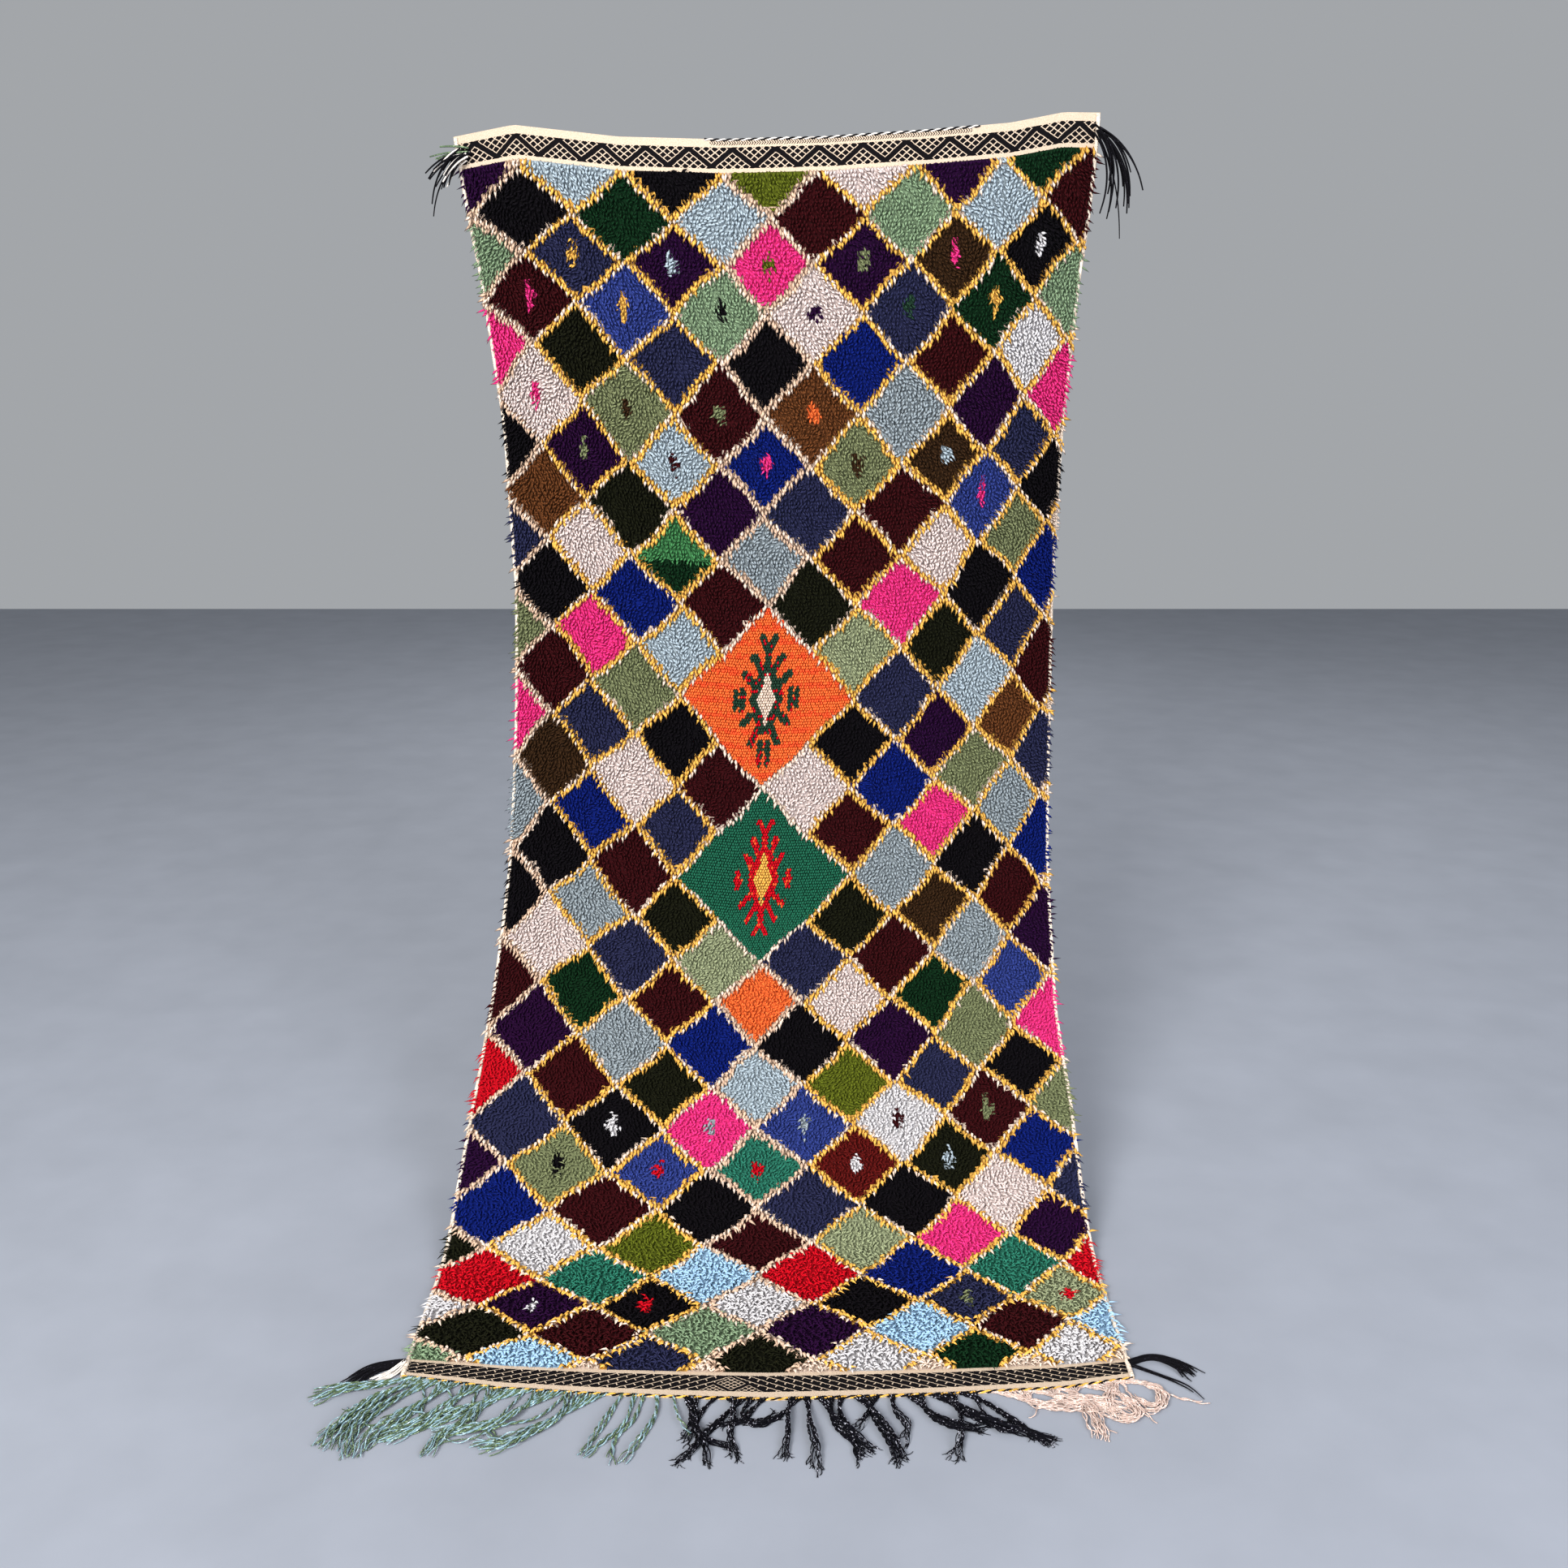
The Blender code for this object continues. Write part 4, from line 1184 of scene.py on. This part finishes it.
# %% Locks of the fringe
SAGE_LOCKS = [
    (7, 0.010, -0.605, -0.580, (-0.660, -0.960), (-0.720, -0.969), (-0.765, -0.989)),
    (10, 0.016, -0.600, -0.550, (-0.645, -0.980), (-0.680, -1.026), (-0.705, -1.073), (-0.720, -1.100)),
    (6, 0.012, -0.580, -0.540, (-0.626, -0.994), (-0.662, -1.042), (-0.678, -1.088), (-0.676, -1.133)),
    (7, 0.011, -0.550, -0.510, (-0.584, -1.018), (-0.616, -1.057), (-0.645, -1.088), (-0.651, -1.133)),
    (7, 0.014, -0.510, -0.460, (-0.533, -1.010), (-0.559, -1.057), (-0.592, -1.073), (-0.625, -1.084)),
    (6, 0.014, -0.470, -0.420, (-0.480, -1.010), (-0.497, -1.057), (-0.529, -1.080), (-0.550, -1.122)),
    (7, 0.015, -0.430, -0.380, (-0.476, -1.006), (-0.518, -1.030), (-0.570, -1.057), (-0.618, -1.092)),
    (7, 0.014, -0.390, -0.330, (-0.414, -1.026), (-0.445, -1.057), (-0.484, -1.073), (-0.551, -1.073)),
    (8, 0.015, -0.340, -0.260, (-0.349, -1.042), (-0.386, -1.073), (-0.423, -1.099), (-0.472, -1.107)),
    (2, 0.004, -0.244, -0.236, (-0.266, -1.042), (-0.291, -1.095), (-0.309, -1.129)),
    (2, 0.004, -0.224, -0.214, (-0.241, -1.057), (-0.275, -1.103), (-0.296, -1.133)),
    (2, 0.004, -0.207, -0.200, (-0.224, -1.049), (-0.251, -1.088), (-0.253, -1.144)),
    (2, 0.004, -0.186, -0.178, (-0.189, -1.034), (-0.214, -1.103), (-0.233, -1.140)),
    (1, 0.000, -0.155, -0.155, (-0.157, -1.042), (-0.123, -1.095)),
    (1, 0.000, -0.545, -0.545, (-0.520, -1.020), (-0.560, -1.040), (-0.600, -1.020), (-0.640, -1.060)),
    (1, 0.000, -0.480, -0.480, (-0.500, -1.040), (-0.455, -1.060), (-0.440, -1.090), (-0.480, -1.110)),
    (1, 0.000, -0.400, -0.400, (-0.440, -1.040), (-0.470, -1.080), (-0.430, -1.105), (-0.390, -1.085)),
    (1, 0.000, -0.330, -0.330, (-0.380, -1.050), (-0.440, -1.060), (-0.490, -1.100), (-0.530, -1.090)),
    (1, 0.000, -0.580, -0.580, (-0.570, -1.030), (-0.600, -1.060), (-0.660, -1.060), (-0.700, -1.020)),
]
INDIGO_LOCKS = [
    (5, 0.007, -0.140, -0.118, (-0.135, -1.049), (-0.112, -1.095), (-0.148, -1.141)),
    (3, 0.004, -0.122, -0.112, (-0.130, -1.049), (-0.109, -1.110), (-0.104, -1.160)),
    (3, 0.005, -0.090, -0.078, (-0.121, -1.026), (-0.143, -1.099)),
    (4, 0.006, -0.070, -0.055, (-0.063, -1.026), (-0.072, -1.080), (-0.060, -1.136)),
    (4, 0.007, -0.050, -0.030, (-0.089, -1.049), (-0.118, -1.088), (-0.076, -1.107)),
    (3, 0.006, -0.030, -0.015, (-0.058, -1.034), (-0.026, -1.065), (0.010, -1.026)),
    (3, 0.006, -0.012, 0.006, (-0.034, -1.018), (-0.054, -1.049), (-0.101, -1.057)),
    (4, 0.004, 0.036, 0.048, (0.024, -1.026), (0.024, -1.073), (0.012, -1.133)),
    (3, 0.006, 0.050, 0.060, (0.008, -1.042), (-0.028, -1.053), (-0.060, -1.045)),
    (4, 0.005, 0.060, 0.074, (0.057, -1.057), (0.065, -1.103), (0.064, -1.158)),
    (8, 0.012, 0.082, 0.112, (0.096, -1.049), (0.118, -1.076), (0.148, -1.110)),
    (4, 0.007, 0.116, 0.130, (0.105, -1.026), (0.126, -1.080), (0.136, -1.133)),
    (8, 0.010, 0.140, 0.172, (0.160, -1.026), (0.187, -1.088), (0.198, -1.144)),
    (3, 0.006, 0.176, 0.190, (0.149, -1.034), (0.137, -1.057)),
    (3, 0.005, 0.200, 0.214, (0.196, -1.026), (0.217, -1.057), (0.212, -1.095)),
    (6, 0.010, 0.225, 0.262, (0.253, -1.034), (0.282, -1.061), (0.312, -1.069), (0.344, -1.057)),
    (9, 0.011, 0.262, 0.310, (0.297, -1.010), (0.331, -1.042), (0.385, -1.065), (0.448, -1.092)),
    (4, 0.006, 0.312, 0.335, (0.351, -1.002), (0.392, -1.049), (0.424, -1.100)),
    (4, 0.005, 0.300, 0.315, (0.305, -1.049), (0.298, -1.095), (0.282, -1.136)),
    (3, 0.006, 0.336, 0.350, (0.341, -1.042), (0.362, -1.076), (0.385, -1.076), (0.383, -1.042)),
]
CREAM_LOCKS = [
    (20, 0.018, 0.366, 0.450, (0.420, -1.002), (0.466, -1.010), (0.514, -1.006), (0.560, -1.014)),
    (16, 0.015, 0.420, 0.500, (0.460, -0.986), (0.500, -0.990), (0.548, -0.996), (0.585, -1.010)),
    (16, 0.015, 0.460, 0.545, (0.500, -0.977), (0.516, -1.018), (0.523, -1.057), (0.524, -1.090)),
    (16, 0.015, 0.560, 0.612, (0.640, -0.955), (0.646, -0.996), (0.622, -1.018), (0.590, -0.990)),
    (16, 0.014, 0.520, 0.590, (0.580, -0.985), (0.600, -1.030), (0.575, -1.046), (0.545, -1.018)),
    (12, 0.014, 0.560, 0.606, (0.571, -0.958), (0.549, -0.998), (0.560, -1.036)),
    (1, 0.000, 0.430, 0.430, (0.428, -1.010), (0.427, -1.030), (0.408, -1.045)),
    (2, 0.004, 0.590, 0.600, (0.600, -1.020), (0.616, -1.049)),
    (2, 0.003, 0.604, 0.612, (0.655, -0.975), (0.686, -0.992), (0.723, -1.003)),
]


def lay_cords(locks, thick, wander, rng):
    """Routes of every cord, from the foot over the lock's places, each with a little chance."""
    routes = []
    for count, spread, first, last, *places in locks:
        middles = np.array(places)
        for k in range(count):
            share = (k + 0.5) / count
            root = drape(first + (last - first) * share, LENGTH - 0.004, thick / 2)
            track = np.concatenate([root[None, :2], middles])
            ahead = np.gradient(track, axis=0)
            ahead /= np.linalg.norm(ahead, axis=1, keepdims=True)
            beside = np.stack([ahead[:, 1], -ahead[:, 0]], axis=1)
            grown = np.linspace(0.0, 1.0, len(track)) ** 0.6
            shift = (share - 0.5) * 2 * spread * grown + rng.normal(0, wander, len(track)) * grown
            track = track + beside * shift[:, None]
            track[-1] += ahead[-1] * rng.uniform(-0.022, 0.010)
            layer = rng.integers(0, 2 if count < 4 else 3)
            lift = thick * layer * np.sin(np.pi * np.linspace(0, 1, len(track)))
            z = FLOOR + thick / 2 + TOUCHING + lift
            z[0] = root[2]
            routes.append(even_steps(rounded(np.c_[track, z])))
    return routes


# A loose fibre's width, and how thin its tip is as a share of that.
FIBRE = 0.0014
FIBRE_TIP = 0.4


def frayed(routes, strands, long, rng):
    """Loose fibres that splay from the end of each strand."""
    ends = []
    for route in routes:
        ahead = route[-1] - route[-4]
        heading = math.atan2(ahead[1], ahead[0])
        for _ in range(strands):
            turn = heading + rng.normal(0, 0.45)
            bend = turn + rng.normal(0, 0.4)
            reach = long * rng.uniform(0.6, 1.2)
            start = np.array([route[-2][0], route[-2][1], FLOOR + 0.0010])
            half = start + 0.5 * reach * np.array([math.cos(turn), math.sin(turn), 0])
            end = half + 0.5 * reach * np.array([math.cos(bend), math.sin(bend), 0])
            ends.append((rounded(np.array([start, half, end]), 1), FIBRE, FIBRE_TIP))
    return ends


print("locks:", len(SAGE_LOCKS), "sage,", len(INDIGO_LOCKS), "indigo and", len(CREAM_LOCKS), "cream")

# %% Fringe pieces
rng = np.random.default_rng(23)
for node, locks, thick, wander, finishes, loosens, slot in (
        ("fringe_sage", SAGE_LOCKS, 2 * STRAND, 0.0045, (sage_wool, blue_wool), 3.0, "sage_yarn"),
        ("fringe_indigo", INDIGO_LOCKS, 2 * STRAND, 0.0035, (indigo_wool, marled_wool), 1.5, "indigo_yarn"),
        ("fringe_cream", CREAM_LOCKS, STRAND, 0.0055, (pale_cotton,), 0.5, "cream_yarn")):
    routes = lay_cords(locks, thick, wander, rng)
    pairs = [wound(route, len(finishes), COIL, TURN, loosens, rng) for route in routes]
    for k, finish in enumerate(finishes):
        strands = [(pair[k], STRAND * rng.uniform(0.8, 1.15), 0.6) for pair in pairs]
        if node == "fringe_indigo":
            strands += frayed([pair[k] for pair in pairs], 2, 0.014, rng)
        label = node + ("_first", "_second")[k]
        piece = to_piece(stranded(label, strands), label, finish)
        if k == 0:
            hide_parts(node)
        print(label, len(routes), "cords,", len(piece.data.polygons), "faces")

# %% [markdown]
# ## Corner tassels
# At each corner the ends of several yarns were bound together and left loose.
# The upper ones hang from the edge, the lower ones lie on the floor.

# %% Tassels
# The width of a loose yarn, and how far apart its points are.
LOOSE = 0.0040
LOOSE_STEP = 0.005


def hanging(side, start, count, long, first, last, rng):
    """Yarns that leave the edge outwards and then hang. Angles are from straight down, in degrees."""
    cords = []
    for _ in range(count):
        point = start + rng.normal(0, 0.006, 3) * np.array([1, 0.5, 1])
        reach = long * rng.uniform(0.7, 1.1)
        forward = rng.normal(-0.02, 0.10)
        spread = rng.normal(0, 13)
        route = [point]
        for k in range(6):
            turn = math.radians(first + (last - first) * ((k + 1) / 6) ** 0.6 + spread)
            ahead = np.array([side * math.sin(turn), forward, -math.cos(turn)])
            point = point + ahead / np.linalg.norm(ahead) * reach / 6
            route.append(point)
        cords.append((even_steps(rounded(np.array(route)), LOOSE_STEP), LOOSE * rng.uniform(0.7, 1.1), 0.7))
    return cords


def spread_out(places, count, spread, start, rng):
    """Yarns that lie on the floor from one corner."""
    cords = []
    for k in range(count):
        share = (k + 0.5) / count - 0.5
        track = np.concatenate([[start[:2]], np.array(places)])
        ahead = np.gradient(track, axis=0)
        ahead /= np.linalg.norm(ahead, axis=1, keepdims=True)
        beside = np.stack([ahead[:, 1], -ahead[:, 0]], axis=1)
        grown = np.linspace(0.15, 1.0, len(track))
        shift = (2 * share * spread + rng.normal(0, 0.003, len(track))) * grown
        track = track + beside * shift[:, None]
        track[-1] += ahead[-1] * rng.uniform(-0.02, 0.006)
        falls = np.array([1.0] + [0.5] * (len(track) - 2) + [0.0])
        z = FLOOR + LOOSE / 2 + LOOSE * rng.integers(0, 3) * falls
        route = even_steps(rounded(np.c_[track, z]), LOOSE_STEP)
        cords.append((route, LOOSE * rng.uniform(0.8, 1.1), 0.45))
    return cords


rng = np.random.default_rng(41)
corner = {-1: drape(-HALF + 0.022, 0.030, 0.012), 1: drape(HALF - 0.004, 0.030, 0.006)}
low = {side: drape(side * (HALF - 0.002), LENGTH - 0.050, 0.004) for side in (-1, 1)}
TASSELS = [
    ("tassel_top_left", black_wool, hanging(-1, corner[-1], 16, 0.080, 84, 30, rng)
     + hanging(-1, corner[-1], 2, 0.165, 66, -5, rng)),
    ("tassel_top_left_pale", white_wool, hanging(-1, corner[-1], 7, 0.064, 92, 45, rng)),
    ("tassel_top_left_sage", sage_wool, hanging(-1, corner[-1], 4, 0.070, 100, 75, rng)),
    ("tassel_top_right", black_wool, hanging(1, corner[1], 18, 0.155, 80, 4, rng)
     + hanging(1, corner[1], 1, 0.230, 40, 0, rng)),
    ("tassel_bottom_left", black_wool,
     spread_out([(-0.649, -0.900), (-0.685, -0.915), (-0.716, -0.952)], 14, 0.018, low[-1], rng)),
    ("tassel_bottom_left_pale", white_wool,
     spread_out([(-0.643, -0.920), (-0.680, -0.948)], 10, 0.014, low[-1], rng)),
    ("tassel_bottom_right", black_wool,
     spread_out([(0.650, -0.878), (0.689, -0.898), (0.712, -0.935)], 18, 0.018, low[1], rng)
     + spread_out([(0.663, -0.935), (0.689, -0.961), (0.710, -0.984)], 2, 0.003, low[1], rng)),
]
for name, finish, cords in TASSELS:
    piece = to_piece(stranded(name + "_yarns", cords), name + "_yarns", finish)
    if name in frame["nodes"]:
        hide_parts(name)
    print(piece.name, len(cords), "yarns")

# %% Finish
total = sum(len(piece.data.polygons) for piece in bpy.data.objects if piece.type == "MESH")
print("faces in the scene:", total)
